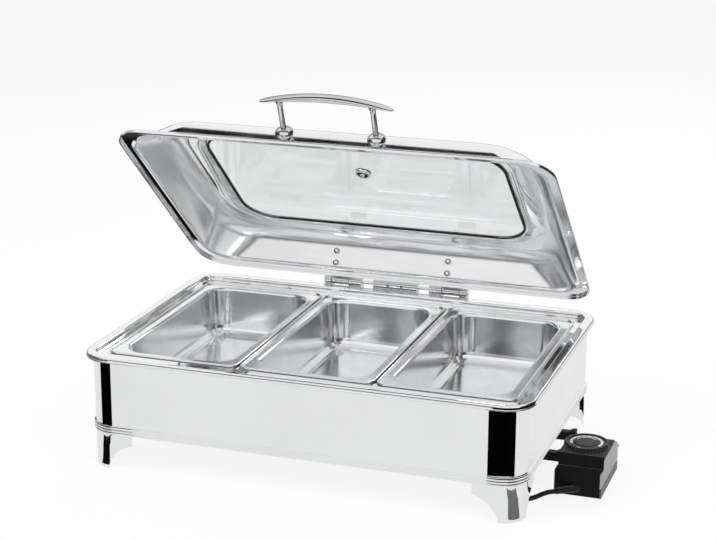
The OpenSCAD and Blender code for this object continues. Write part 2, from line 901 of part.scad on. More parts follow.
// A strap from the knuckle over the lid's flange and up its rear wall
module hinge_arm(s) {
    knee = [lid_rear - lid_flange + 1.4, strap_z];
    color([0.8, 0.81, 0.82])
        placed()
            swung()
                difference() {
                    along_x(s * arm_x - arm_w / 2, s * arm_x + arm_w / 2) {
                        translate([pivot_y, pivot_z])
                            circle(knuckle_r);
                        polygon([
                            rear_wall_at(wall_len - 1, seat), rear_wall_at(1, seat), knee, [pivot_y, strap_z],
                            [pivot_y, strap_z + strap_t], knee + [strap_t / 2, strap_t],
                            rear_wall_at(2.2, strap_t), rear_wall_at(wall_len - 1, strap_t)
                        ]);
                    }
                    translate([s * arm_x - arm_w, pivot_y, pivot_z])
                        rotate([0, 90, 0])
                            cylinder(h = 2 * arm_w, r = pin_r + pin_clear);
                    rivets_at(s)
                        translate([0, 0, -1])
                            cylinder(h = strap_t + 2, r = rivet_r);
                }
}

module hinge_arm_left() {
    hinge_arm(-1);
}

module hinge_arm_right() {
    hinge_arm(1);
}

module rivet_head_shape() {
    intersection() {
        translate([0, 0, rivet_head - 2 * rivet_r])
            sphere(2 * rivet_r);
        cylinder(h = 2 * rivet_head, r = 2 * rivet_r);
    }
}

module lid_rivets() {
    color([0.85, 0.86, 0.87])
        placed()
            swung()
                for (s = [-1, 1])
                    rivets_at(s) {
                        translate([0, 0, -sheet - bite])
                            cylinder(h = sheet + strap_t + 2 * bite, r = rivet_r);
                        translate([0, 0, strap_t + seat])
                            rivet_head_shape();
                        translate([0, 0, -sheet - seat])
                            mirror([0, 0, 1])
                                rivet_head_shape();
                    }
}

// Lid

// One ring of a rounded rectangle: half sizes to the corners' centres, corner radius and height
function round_ring(x, y, r, h) =
    [for (q = [0 : 3], k = [0 : corner_steps])
        let (a = 90 * q + 90 * k / corner_steps, sx = q == 0 || q == 3 ? 1 : -1, sy = q < 2 ? 1 : -1)
        [sx * x + r * cos(a), sy * y + r * sin(a), h]];

// One ring of the lid at a point of its section, moved in and up from there
function lid_ring(p, move = [0, 0]) =
    let (r = lookup(p[0], corner_table))
    round_ring(lid_w / 2 - p[0] - r, lid_d / 2 - p[0] - r, r - move[0], p[1] + move[1]);

// One ring round the window's hole, some way out from the hole's edge
function window_ring(out, h) = round_ring(hole_w / 2 - hole_r, hole_d / 2 - hole_r, hole_r + out, h);

function unit(v) = v / norm(v);

// Inward normal of the section's stretch that ends at one of its points
function stretch_normal(i) =
    let (j = min(max(i, 1), len(lid_section) - 1), d = unit(lid_section[j] - lid_section[j - 1]))
    [d[1], -d[0]];

// The move that takes a point of the outer face to the inner face, one sheet away on both sides
function sheet_move(i) =
    let (n = stretch_normal(i), m = stretch_normal(i + 1))
    i == 0 ? [sheet, 0] : sheet * (n + m) / (1 + n * m);

// Skin between rings that follow each other, closed on itself from the last ring to the first
function ring_faces(count, size) =
    [for (i = [0 : count - 1], k = [0 : size - 1], half = [0, 1])
        let (i2 = (i + 1) % count, k2 = (k + 1) % size,
            a = i * size + k, b = i * size + k2, c = i2 * size + k2, d = i2 * size + k)
        half == 0 ? [a, c, b] : [a, d, c]];

module lid_skin() {
    count = len(lid_section);
    outer = [for (p = lid_section) lid_ring(p)];
    inner = [for (i = [count - 1 : -1 : 0]) lid_ring(lid_section[i], sheet_move(i))];
    steps = [for (k = [0 : 2 * bead_count]) [bead_band - k * bead_w / 2, k % 2 * bead_up]];
    beads = [for (p = steps) window_ring(p[0], lid_h + p[1])];
    hole = [for (h = [lid_h, lid_h - sheet]) window_ring(groove_clear, h)];
    under = [for (p = flipped(steps)) window_ring(p[0], lid_h + p[1] - sheet)];
    rings = concat(outer, beads, hole, under, inner);
    polyhedron([for (ring = rings) each ring], ring_faces(len(rings), len(rings[0])), convexity = 6);
}

// The frame of the lid's front wall at the handle: X across, Y up the wall, Z outwards
module on_front_wall() {
    translate([0, lid_front + wall_in + handle_up * cos(lid_slope), lid_z + wall_low + handle_up * sin(lid_slope)])
        rotate([lid_slope, 0, 0])
            children();
}

module posts_at() {
    on_front_wall()
        for (s = [-1, 1])
            translate([s * post_span / 2, 0, 0])
                children();
}

module lid_shell() {
    color([0.85, 0.86, 0.87])
        placed()
            swung()
                difference() {
                    translate([0, lid_mid, lid_z])
                        lid_skin();
                    posts_at()
                        translate([0, 0, -sheet - 1])
                            cylinder(h = sheet + 2, r = screw_r + screw_clear);
                    for (s = [-1, 1])
                        rivets_at(s)
                            translate([0, 0, -sheet - 1])
                                cylinder(h = sheet + 2, r = rivet_r);
                }
}

// Rubber channel: one groove holds the lid's sheet, the other holds the glass
module window_gasket() {
    half = glass_t / 2 + gasket_lip;
    color([0.06, 0.06, 0.06])
        placed()
            swung()
                translate([0, lid_mid, lid_z + lid_h - sheet / 2])
                    carried(hole_w, hole_d, hole_r)
                        difference() {
                            translate([-gasket_in, -half])
                                square([gasket_in + gasket_out, 2 * half]);
                            translate([0, -sheet / 2])
                                square([gasket_out + 1, sheet]);
                            translate([-gasket_in - 1, -glass_t / 2])
                                square([gasket_in + 1 - glass_edge, glass_t]);
                        }
}

module lid_window() {
    color([0.8, 0.88, 0.9, 0.4])
        placed()
            swung()
                translate([0, lid_mid, lid_z + lid_h - sheet / 2])
                    difference() {
                        slab(-glass_t / 2, glass_t / 2,
                            [hole_w - 2 * glass_edge, hole_d - 2 * glass_edge, hole_r - glass_edge]);
                        translate([vent_side, -vent_front, -glass_t])
                            cylinder(h = 2 * glass_t, r = eyelet_r - 2.5);
                    }
}

// A rolled eyelet through the glass
module steam_vent() {
    half = glass_t / 2;
    color([0.8, 0.81, 0.82])
        placed()
            swung()
                translate([vent_side, lid_mid - vent_front, lid_z + lid_h - sheet / 2])
                    rotate_extrude()
                        polygon([
                            [eyelet_r - 4, -half - 1.2], [eyelet_r, -half - 0.8], [eyelet_r, -half],
                            [eyelet_r - 2.5, -half], [eyelet_r - 2.5, half], [eyelet_r, half],
                            [eyelet_r, half + 0.8], [eyelet_r - 4, half + 1.2]
                        ]);
}

// Handle

// An arched bar, thick in the middle and slim at its ends, seated on the posts
module handle_bar() {
    color([0.85, 0.86, 0.87])
        placed()
            swung()
                difference() {
                    on_front_wall()
                        intersection() {
                            translate([0, bar_w, 0])
                                rotate([90, 0, 0])
                                    linear_extrude(2 * bar_w)
                                        bar_side();
                            translate([0, 0, bar_low - bar_rise])
                                linear_extrude(bar_t + 2 * bar_rise)
                                    bar_plan();
                        }
                    posts_at()
                        cylinder(h = post_top, r = flare_r + 0.5);
                    posts_at()
                        cylinder(h = post_top + stud_h, r = screw_r);
                }
}

// Heights of the bar's underside and top at a distance from its middle
function bar_under(x) = bar_low - bar_low_r + sqrt(bar_low_r * bar_low_r - x * x);
function bar_over(x) = bar_low + bar_t - bar_top_r + sqrt(bar_top_r * bar_top_r - x * x);

module bar_side() {
    top_half = asin(bar_len / 2 / bar_top_r);
    low_half = asin(bar_len / 2 / bar_low_r);
    polygon(concat(
        arc([0, bar_low + bar_t - bar_top_r], bar_top_r, 90 - top_half, 90 + top_half, 20),
        arc([0, bar_low - bar_low_r], bar_low_r, 90 + low_half, 90 - low_half, 12)
    ));
}

module bar_plan() {
    half = asin(bar_len / 2 / bar_plan_r);
    polygon(concat(
        arc([0, bar_w / 2 - bar_plan_r], bar_plan_r, 90 - half, 90 + half, 8),
        arc([0, bar_plan_r - bar_w / 2], bar_plan_r, 270 - half, 270 + half, 8)
    ));
}

module handle_posts() {
    color([0.85, 0.86, 0.87])
        placed()
            swung()
                posts_at() {
                    difference() {
                        rotate_extrude()
                            polygon([
                                [0, dome_h], [post_r, dome_h], [post_r, post_top - 14],
                                [post_r + 0.3, post_top - 9], [post_r + 0.9, post_top - 5],
                                [flare_r - 0.8, post_top - 2], [flare_r, post_top - 0.8], [flare_r, post_top],
                                [0, post_top]
                            ]);
                        translate([0, 0, dome_h - 1])
                            cylinder(h = screw_deep + 1, r = screw_r);
                    }
                    translate([0, 0, post_top - bite])
                        cylinder(h = stud_h + bite, r = screw_r);
                }
}

module handle_domes() {
    color([0.85, 0.86, 0.87])
        placed()
            swung()
                posts_at()
                    difference() {
                        rotate_extrude()
                            polygon(concat([[0, seat], [dome_r - 3, seat]],
                                [for (a = [-60 : 15 : 90])
                                    [post_r + 0.5 + (dome_r - post_r - 0.5) * cos(a), dome_h * (0.5 + 0.5 * sin(a))]],
                                [[0, dome_h]]));
                        translate([0, 0, -1])
                            cylinder(h = dome_h + 2, r = screw_r);
                    }
}

module handle_screws() {
    color([0.8, 0.8, 0.82])
        placed()
            swung()
                posts_at()
                    translate([0, 0, -sheet - seat])
                        screw(sheet + seat + dome_h + screw_deep);
}

// Controller

// Side view of the controller between two heights: upright front, flat top, sloping rear
module ctl_side(z0, z1) {
    intersection() {
        polygon([[ctl_y0, 0], [ctl_y1, 0], [ctl_y1, ctl_rear_h], [ctl_y0 + ctl_top_d, ctl_h], [ctl_y0, ctl_h]]);
        translate([ctl_y0, z0])
            square([ctl_d, z1 - z0]);
    }
}

// A section across the controller, carried along its whole length
module along_ctl() {
    translate([0, ctl_y1 + 1, 0])
        rotate([90, 0, 0])
            linear_extrude(ctl_d + 2)
                children();
}

// Upright sides that slant over to the right just under the seam
module controller_base() {
    low = ctl_split - ctl_slant;
    color([0.05, 0.05, 0.05])
        placed()
            difference() {
                intersection() {
                    along_x(ctl_x0, ctl_x1 + ctl_step)
                        ctl_side(0, ctl_split);
                    along_ctl()
                        polygon([
                            [ctl_x0, -1], [ctl_x1, -1], [ctl_x1, low], [ctl_x1 + ctl_step, ctl_split],
                            [ctl_x0 + ctl_step, ctl_split], [ctl_x0, low]
                        ]);
                }
                arm_bars();
            }
}

// The cover stands to the right of the base, steps in at the front, and holds the dial's shaft
module controller_cover() {
    color([0.06, 0.06, 0.06])
        placed()
            difference() {
                intersection() {
                    along_x(ctl_x0 + ctl_step, ctl_x1 + ctl_step)
                        ctl_side(ctl_split, ctl_h);
                    translate([ctl_x0, ctl_y0 + ctl_step / 2, ctl_split])
                        cube([2 * ctl_w, ctl_d, ctl_h]);
                }
                translate([dial_x, dial_y, ctl_split])
                    cylinder(h = ctl_h, r = shaft_r + pin_clear);
                translate([dial_x - 1, ctl_y0, ctl_h - 3])
                    cube([2, ctl_step / 2 + 0.8, 4]);
                arm_bars();
            }
}

// Section of the side panel between two distances out from the controller's side
module panel_section(from, to) {
    low = ctl_split - ctl_slant;
    high = ctl_x1 + ctl_step;
    polygon([
        [ctl_x1 + from, -1], [ctl_x1 + to, -1], [ctl_x1 + to, low], [high + to, ctl_split],
        [high + to, panel_top], [high + from, panel_top], [high + from, ctl_split], [ctl_x1 + from, low]
    ]);
}

// Side panel with fine grooves along it
module ribbed_panel() {
    groove = (panel_top - ctl_slant - 5) / panel_grooves;
    color([0.42, 0.43, 0.44])
        placed()
            intersection() {
                along_x(ctl_x1, panel_x1)
                    difference() {
                        ctl_side(0, panel_top);
                        translate([ctl_y0 - 4, panel_top - 6])
                            rotate(45)
                                square(12);
                    }
                along_ctl()
                    difference() {
                        panel_section(0, panel_t);
                        for (k = [0 : panel_grooves - 1])
                            intersection() {
                                panel_section(panel_t - groove_deep, panel_t + 1);
                                translate([ctl_x1, 11 + k * groove])
                                    square([ctl_step + panel_t + 2, groove / 2]);
                            }
                    }
            }
}

// Side view of an arm: a bar under the base plate that humps up into the controller's side
module arm_profile() {
    translate([body_w / 2 - bracket_reach, arm_z])
        square([bracket_reach + ctl_gap - 1, bracket_h]);
    intersection() {
        translate([ctl_x0 + 6, arm_z])
            circle(arm_hump);
        translate([ctl_x0 - arm_hump, arm_z])
            square([arm_hump + ctl_step + arm_plug, arm_hump]);
    }
}

module arm_bars() {
    for (y = [-bracket_front, bracket_rear])
        translate([0, y + bracket_w / 2, 0])
            rotate([90, 0, 0])
                linear_extrude(bracket_w)
                    arm_profile();
}

module controller_arms() {
    color([0.05, 0.05, 0.05])
        placed()
            difference() {
                arm_bars();
                arm_screws_at()
                    screw_hole(bracket_h);
            }
}

module arm_screws() {
    color([0.6, 0.6, 0.62])
        placed()
            arm_screws_at()
                screw(bracket_h + plate_t + 1);
}

// A flat dial with a raised middle and a fluted edge
module dial_knob() {
    color([0.08, 0.08, 0.08])
        placed()
            translate([dial_x, dial_y, dial_z])
                difference() {
                    rotate_extrude()
                        polygon([
                            [0, 0], [dial_r, 0], [dial_r, dial_h - 1.5], [dial_r - 1.5, dial_h],
                            [dial_r - 4, dial_h], [dial_r - 5, dial_h - 1], [dial_r * 0.58, dial_h - 1],
                            [dial_r * 0.54, dial_h - 0.2], [0, dial_h - 0.2]
                        ]);
                    for (k = [0 : dial_flutes - 1])
                        rotate(k * 360 / dial_flutes)
                            translate([dial_r + 0.5, 0, -1])
                                cylinder(h = dial_h + 2, r = 1.1);
                    translate([0, 0, -1])
                        cylinder(h = 4, r = shaft_r);
                }
}

module dial_shaft() {
    color([0.7, 0.7, 0.72])
        placed()
            translate([dial_x, dial_y, ctl_split + run_gap])
                cylinder(h = dial_z + 3 - ctl_split - run_gap, r = shaft_r);
}

// Cord

// A tapered sleeve that leaves the controller's front at a slant
module cord_relief() {
    axis = relief_tip - relief_base;
    color([0.05, 0.05, 0.05])
        placed()
            difference() {
                translate(relief_base - unit(axis) * 8)
                    rotate([0, 90, atan2(axis[1], axis[0])])
                        cylinder(h = norm(axis) + 8, r1 = cord_d / 2 + relief_grow, r2 = cord_d / 2 + 0.8);
                translate([ctl_x0, ctl_y0, 0])
                    cube([ctl_w, ctl_d, ctl_h]);
            }
}

// A smooth curve through the route's points, with one more ring between each two
function smooth(p, i, t) =
    let (a = p[max(i - 1, 0)], b = p[i], c = p[i + 1], d = p[min(i + 2, len(p) - 1)])
    b + t * (c - a) / 2 + t * t * (a - 2.5 * b + 2 * c - d / 2) + t * t * t * (1.5 * b - 1.5 * c + (d - a) / 2);

function route_line() =
    concat([for (i = [0 : len(route) - 2], t = [0, 0.5]) smooth(route, i, t)], [route[len(route) - 1]]);

// Tube along a line of points that never runs straight up
function tube_ring(line, i, r, sides) =
    let (ahead = unit(line[min(i + 1, len(line) - 1)] - line[max(i - 1, 0)]),
        side = unit(cross([0, 0, 1], ahead)), up = cross(ahead, side))
    [for (k = [0 : sides - 1]) line[i] + r * (cos(k * 360 / sides) * side + sin(k * 360 / sides) * up)];

module tube(line, r, sides) {
    n = len(line);
    points = [for (i = [0 : n - 1]) each tube_ring(line, i, r, sides)];
    skin = [for (i = [0 : n - 2], k = [0 : sides - 1], half = [0, 1])
        let (a = i * sides + k, b = i * sides + (k + 1) % sides, c = b + sides, d = a + sides)
        half == 0 ? [a, c, b] : [a, d, c]];
    near = [for (k = [1 : sides - 2]) [0, k, k + 1]];
    far = [for (k = [1 : sides - 2]) [(n - 1) * sides, (n - 1) * sides + k + 1, (n - 1) * sides + k]];
    polyhedron(points, concat(skin, near, far), convexity = 8);
}

module power_cord() {
    color([0.04, 0.04, 0.04])
        placed()
            tube(route_line(), cord_d / 2, 10);
}

// The coil spirals in on the lower layer, climbs as it turns back, and spirals out on the upper one
function coil_at(a) =
    let (off = abs(a - coil_half), r = coil_in + coil_pitch * off / 360,
        climb = min(max((a - coil_half + 90) / 180, 0), 1))
    [coil_mid[0] + r * cos(a), coil_mid[1] + r * sin(a), coil_z + coil_pitch * climb * climb * (3 - 2 * climb)];

function coil_line() =
    let (turns = [for (a = [0 : coil_step : 2 * coil_half]) coil_at(a)], last = turns[len(turns) - 1])
    concat([turns[0] - [0, cord_d, 0]], turns, [last - [cord_d, 0, 0]]);

function least(list) = min([for (v = list) v]);

function coil_gap(line) =
    least([for (i = [0 : len(line) - 14], j = [i + 12 : len(line) - 1]) norm(line[i] - line[j])]) - cord_d;

module cord_coil() {
    line = coil_line();
    echo(coil_gap = coil_gap(line));
    color([0.04, 0.04, 0.04])
        placed()
            tube(line, cord_d / 2, 6);
}

// A flat strap round all the turns at one place
module coil_tie() {
    low = coil_z - cord_d / 2 - 0.1;
    high = coil_z + coil_pitch + cord_d / 2 + 0.1;
    inner = coil_in - cord_d / 2 - 1.4;
    outer = coil_in + coil_pitch * (coil_half - tie_at) / 360 + cord_d / 2 + 0.4;
    color([0.1, 0.1, 0.1])
        placed()
            translate([coil_mid[0], coil_mid[1], 0])
                rotate([90, 0, tie_at])
                    translate([0, 0, -tie_w / 2])
                        linear_extrude(tie_w)
                            translate([(inner + outer) / 2, (low + high) / 2])
                                difference() {
                                    rounded(outer - inner + 2 * tie_t, high - low + 2 * tie_t, 2 + tie_t);
                                    rounded(outer - inner, high - low, 2);
                                }
}

function plug_face() = let (line = coil_line()) line[len(line) - 1];

// Moulded plug with its tapered sleeve, lying beside the coil
module mains_plug() {
    color([0.05, 0.05, 0.05])
        placed()
            translate(plug_face())
                rotate([0, -90, 0]) {
                    cylinder(h = plug_relief, r1 = cord_d / 2 + 0.8, r2 = cord_d / 2 + 3);
                    translate([0, 0, plug_relief - bite])
                        linear_extrude(plug_len)
                            rounded(plug_h, plug_w, 6);
                }
}

module plug_pins() {
    color([0.8, 0.75, 0.5])
        placed()
            translate(plug_face() - [plug_relief + plug_len - bite, 0, 0])
                for (s = [-1, 1])
                    translate([-17, s * 6.35 - 0.75, -3.15])
                        cube([17, 1.5, 6.3]);
}

body_shell();
base_band();
base_plate();
water_pan();
pan_left();
pan_middle();
pan_right();
foot_front_left();
foot_front_right();
foot_rear_left();
foot_rear_right();
foot_screws();
heat_spreader();
heating_element();
element_clips();
clip_screws();
terminal_block();
hinge_bracket();
hinge_screws();
hinge_pin();
friction_washers();
hinge_arm_left();
hinge_arm_right();
lid_rivets();
lid_shell();
window_gasket();
lid_window();
steam_vent();
handle_bar();
handle_posts();
handle_domes();
handle_screws();
controller_base();
controller_cover();
ribbed_panel();
controller_arms();
arm_screws();
dial_knob();
dial_shaft();
cord_relief();
power_cord();
cord_coil();
coil_tie();
mains_plug();
plug_pins();
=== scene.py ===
import math

import bmesh
import bpy
from mathutils import Matrix, Vector


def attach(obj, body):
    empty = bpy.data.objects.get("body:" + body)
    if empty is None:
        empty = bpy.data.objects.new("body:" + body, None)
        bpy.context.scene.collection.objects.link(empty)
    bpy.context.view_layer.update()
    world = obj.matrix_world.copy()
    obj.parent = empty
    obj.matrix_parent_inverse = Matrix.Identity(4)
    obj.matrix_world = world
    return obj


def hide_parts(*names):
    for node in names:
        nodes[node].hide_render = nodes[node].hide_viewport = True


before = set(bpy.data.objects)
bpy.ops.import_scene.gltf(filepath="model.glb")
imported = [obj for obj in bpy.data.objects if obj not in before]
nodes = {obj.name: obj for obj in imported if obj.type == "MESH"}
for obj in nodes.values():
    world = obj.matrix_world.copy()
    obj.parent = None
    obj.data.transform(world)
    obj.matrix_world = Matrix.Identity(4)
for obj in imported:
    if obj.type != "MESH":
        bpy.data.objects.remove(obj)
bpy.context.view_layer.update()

MM = 0.001
# The body's middle in the shared frame, in millimetres
BODY_X, BODY_Y = -34.5, -7.5


def at(x, y, z):
    """A point given in millimetres from the body's middle, in the shared frame in metres."""
    return Vector(((x + BODY_X) * MM, (y + BODY_Y) * MM, z * MM))


def link(name, data):
    obj = bpy.data.objects.new(name, data)
    bpy.context.scene.collection.objects.link(obj)
    return obj


def polygon_mesh(name, points, faces, crease=None, second=()):
    """A mesh in the shared frame: flat, or smooth except where faces meet at more than crease degrees.

    The faces whose numbers are in second take the piece's second material."""
    mesh = bpy.data.meshes.new(name)
    mesh.from_pydata([tuple(p) for p in points], [], faces)
    mesh.polygons.foreach_set("material_index", [int(i in second) for i in range(len(faces))])
    if crease is not None:
        work = bmesh.new()
        work.from_mesh(mesh)
        bmesh.ops.recalc_face_normals(work, faces=work.faces)
        work.to_mesh(mesh)
        work.free()
        mesh.polygons.foreach_set("use_smooth", [True] * len(mesh.polygons))
        mesh.set_sharp_from_angle(angle=math.radians(crease))
    mesh.update()
    return mesh


# Camera

# Fitted to points read off the photograph; sensor and lens are in millimetres, the far clip in metres
CAMERA_AT = at(733, -2106, 890)
YAW, PITCH, ROLL = math.radians(18.852), math.radians(16.367), math.radians(0.249)
SENSOR, LENS, CLIP_END = 36.0, 90.75, 60.0


def make_camera():
    data = bpy.data.cameras.new("camera")
    data.sensor_fit = "HORIZONTAL"
    data.sensor_width = SENSOR
    data.lens = LENS
    data.clip_end = CLIP_END
    camera = link("camera", data)
    forward = Vector((-math.sin(YAW) * math.cos(PITCH), math.cos(YAW) * math.cos(PITCH), -math.sin(PITCH)))
    right = Vector((math.cos(YAW), math.sin(YAW), 0))
    up = right.cross(forward)
    right, up = (right * math.cos(ROLL) + up * math.sin(ROLL), up * math.cos(ROLL) - right * math.sin(ROLL))
    turn = Matrix((right, up, -forward)).transposed()
    camera.matrix_world = Matrix.Translation(CAMERA_AT) @ turn.to_4x4()
    bpy.context.scene.camera = camera


# Shader nodes that the stage and the materials share

WHITE = (1, 1, 1, 1)


def ray_kind(tree, *kinds):
    """1 for rays of the named kinds, 0 for others."""
    path = tree.nodes.new("ShaderNodeLightPath")
    total = path.outputs[kinds[0]]
    for kind in kinds[1:]:
        larger = tree.nodes.new("ShaderNodeMath")
        larger.operation = "MAXIMUM"
        tree.links.new(total, larger.inputs[0])
        tree.links.new(path.outputs[kind], larger.inputs[1])
        total = larger.outputs[0]
    return total


def scaled(tree, value, factor):
    product = tree.nodes.new("ShaderNodeMath")
    product.operation = "MULTIPLY"
    product.inputs[1].default_value = factor
    tree.links.new(value, product.inputs[0])
    return product.outputs[0]


def multiplied(tree, first, second):
    """The product of two colours."""
    mix = tree.nodes.new("ShaderNodeMix")
    mix.data_type = "RGBA"
    mix.blend_type = "MULTIPLY"
    mix.inputs["Factor"].default_value = 1.0
    tree.links.new(first, mix.inputs["A"])
    tree.links.new(second, mix.inputs["B"])
    return mix.outputs["Result"]


def mixed(tree, share, first, second):
    """One shader and, by its share, another over it."""
    mix = tree.nodes.new("ShaderNodeMixShader")
    tree.links.new(share, mix.inputs[0])
    tree.links.new(first, mix.inputs[1])
    tree.links.new(second, mix.inputs[2])
    return mix.outputs[0]


def glow(tree, kind, colour=WHITE, strength=1.0):
    """A background or an emission."""
    node = tree.nodes.new(kind)
    node.inputs["Color"].default_value = colour
    node.inputs["Strength"].default_value = strength
    return node


def grey_ramp(tree, value, stops, steps="EASE"):
    """Greys along a value from 0 to 1, with soft steps between the stops unless told otherwise."""
    ramp = tree.nodes.new("ShaderNodeValToRGB")
    ramp.color_ramp.interpolation = steps
    while len(ramp.color_ramp.elements) < len(stops):
        ramp.color_ramp.elements.new(0.5)
    for element, (position, grey) in zip(ramp.color_ramp.elements, stops):
        element.position = position
        element.color = (grey, grey, grey, 1)
    tree.links.new(value, ramp.inputs["Fac"])
    return ramp.outputs["Color"]


# Studio

# Rays that see the studio plain white: straight from the camera, or on through the glass
PLAIN_RAYS = ("Is Camera Ray", "Is Transmission Ray")
# The studio is turned as the camera is, with dark screens to the left and the right
STUDIO_TURN = math.radians(18.85)
STUDIO_TINT, STUDIO_LIGHT = (0.97, 0.98, 1, 1), 0.45
# Greys that polished metal sees: from the horizon to overhead, and from the left to the right
CLIMB_GREYS = [(0.0, 0.3), (0.05, 0.6), (0.12, 0.95), (0.3, 1.0), (0.8, 1.0), (1.0, 0.74)]
SIDE_GREYS = [(0.0, 0.12), (0.03, 0.03), (0.2, 1.0), (0.82, 1.0), (0.88, 0.05), (0.97, 0.03), (1.0, 0.12)]


def make_world():
    """White to the camera and through glass; polished metal sees a pale studio with dark screens."""
    world = bpy.data.worlds.new("studio")
    bpy.context.scene.world = world
    world.use_nodes = True
    tree = world.node_tree
    tree.nodes.clear()
    lit = glow(tree, "ShaderNodeBackground", STUDIO_TINT, STUDIO_LIGHT)
    white = glow(tree, "ShaderNodeBackground")
    room = glow(tree, "ShaderNodeBackground")
    where = tree.nodes.new("ShaderNodeTexCoord")
    split = tree.nodes.new("ShaderNodeSeparateXYZ")
    tree.links.new(where.outputs["Generated"], split.inputs[0])
    climb = grey_ramp(tree, split.outputs["Z"], CLIMB_GREYS)
    aside = tree.nodes.new("ShaderNodeVectorMath")
    aside.operation = "DOT_PRODUCT"
    aside.inputs[1].default_value = (math.cos(STUDIO_TURN), math.sin(STUDIO_TURN), 0)
    tree.links.new(where.outputs["Generated"], aside.inputs[0])
    across = tree.nodes.new("ShaderNodeMapRange")
    across.inputs["From Min"].default_value = -1.0
    tree.links.new(aside.outputs["Value"], across.inputs["Value"])
    screens = grey_ramp(tree, across.outputs["Result"], SIDE_GREYS)
    tree.links.new(multiplied(tree, climb, screens), room.inputs["Color"])
    shown = mixed(tree, ray_kind(tree, "Is Glossy Ray"), lit.outputs[0], room.outputs[0])
    shown = mixed(tree, ray_kind(tree, *PLAIN_RAYS), shown, white.outputs[0])
    out = tree.nodes.new("ShaderNodeOutputWorld")
    tree.links.new(shown, out.inputs["Surface"])


# Floor, in metres: half its side, its height, and the distance at which its greys end
FLOOR_HALF, FLOOR_Z, FLOOR_FAR = 9.0, -0.0005, 6.0
PAPER = (0.93, 0.93, 0.93, 1)
FLOOR_GREYS = [(0.0, 0.9), (0.13, 0.86), (0.2, 0.3), (0.3, 0.08), (1.0, 0.03)]
# How much of those greys polished metal sees, and how much plain white the camera sees over the lit paper
GREY_SHARE, WHITE_SHARE = 0.9, 0.86


def make_floor():
    """A white paper floor that keeps the shadow, and that polished metal sees fade to grey with distance."""
    square = [(x * FLOOR_HALF, y * FLOOR_HALF, FLOOR_Z) for x, y in ((-1, -1), (1, -1), (1, 1), (-1, 1))]
    floor = link("floor", polygon_mesh("floor", square, [[0, 1, 2, 3]]))
    paper = bpy.data.materials.new("floor_paper")
    paper.use_nodes = True
    tree = paper.node_tree
    tree.nodes.clear()
    matte = tree.nodes.new("ShaderNodeBsdfDiffuse")
    matte.inputs["Color"].default_value = PAPER
    white = glow(tree, "ShaderNodeEmission")
    grey = glow(tree, "ShaderNodeEmission")
    where = tree.nodes.new("ShaderNodeTexCoord")
    far = tree.nodes.new("ShaderNodeVectorMath")
    far.operation = "LENGTH"
    tree.links.new(where.outputs["Object"], far.inputs[0])
    greys = grey_ramp(tree, scaled(tree, far.outputs["Value"], 1 / FLOOR_FAR), FLOOR_GREYS)
    tree.links.new(greys, grey.inputs["Color"])
    mirrored = scaled(tree, ray_kind(tree, "Is Glossy Ray"), GREY_SHARE)
    shown = mixed(tree, mirrored, matte.outputs[0], grey.outputs[0])
    plain = scaled(tree, ray_kind(tree, *PLAIN_RAYS), WHITE_SHARE)
    shown = mixed(tree, plain, shown, white.outputs[0])
    out = tree.nodes.new("ShaderNodeOutputMaterial")
    tree.links.new(shown, out.inputs["Surface"])
    floor.data.materials.append(paper)


# Lamps: their places and widths in metres, and their power in watts
LAMPS = (
    ("key", (-1.3, -1.5, 2.2), 1.6, 42),
    ("fill", (1.9, -1.2, 1.5), 1.4, 22),
    ("back", (0.3, 2.0, 2.0), 1.8, 26),
)
LAMP_AIM = Vector((0, 0, 0.2))


def make_lamps():
    for name, place, size, power in LAMPS:
        light = bpy.data.lights.new(name, "AREA")
        light.shape = "DISK"
        light.size = size
        light.energy = power
        lamp = link(name, light)
        lamp.visible_glossy = False
        aim = LAMP_AIM - Vector(place)
        lamp.matrix_world = Matrix.Translation(place) @ aim.to_track_quat("-Z", "Y").to_matrix().to_4x4()


# Cards that polished metal alone shows, painted dark reflections, in millimetres from the body's middle

BLACK_CARD, GREY_CARD = 0.004, 0.16
# On the floor, off three of the feet
FOOT_CARD_Z = 0.4
FOOT_LEFT = [(-365, -236), (-334, -212), (-300, -197), (-276, -187), (-259, -198), (-274, -220),
             (-293, -252), (-302, -294)]
FOOT_REAR = [(288, 175), (314, 258), (314, 292), (290, 225)]
FOOT_RIGHT = [(273, -192), (289, -211), (312, -238), (322, -276), (375, -205), (343, -178),
              (310, -172), (287, -173)]
# Upright and close to the body's front corners: the lines they stand along, their lower and upper edges
CORNER_RIGHT = [(237, -203.6), (258, -206), (275, -200), (285, -187.3)]
CORNER_LEFT = [(-254.4, -202.5), (-267, -200), (-276.1, -192.1)]
CORNER_LOW, CORNER_HIGH = 53.0, 142.5
# Close under the lip's front corners, for its roll: the corners' centres and radius, height and steps
LIP_X, LIP_Y, LIP_R, LIP_CARD_Z, LIP_STEP = 254.0, -161.0, 37.4, 143.0, 5
# How many degrees they go round the corners, and their outer outlines from the side to the front
LIP_RIGHT_TURN, LIP_LEFT_TURN = 85, 90
LIP_RIGHT = [(354, -24), (430, -150), (400, -320), (290, -380), (196, -348), (247, -198.4)]
LIP_LEFT = [(-291.4, 20), (-450, 20), (-460, -250), (-400, -360), (-301, -348), (-250, -198.4)]
# Level with those, for the left of the lid's flange
FLANGE_CARD = [(-465, -12), (-350, -12), (-386, 13), (-338, 90), (-282, 172), (-326, 172),
               (-368, 108), (-450, 43)]
# A thin strip above the lid, for a painted dark reflection at the foot of its front wall
WALL_STRIP = [(-272, -30, 474), (-26, -28, 476.4), (220, -26.6, 478.2), (220, -18.6, 481.2),
              (-26, -18.3, 480), (-272, -16.7, 478.8)]
# A strip over the handle, for a painted dark reflected line along its bar
BAR_STRIP, BAR_STRIP_Z = [(-260, -136), (200, -136), (200, -74), (-260, -74)], 566


def level(outline, z):
    return [(x, y, z) for x, y in outline]


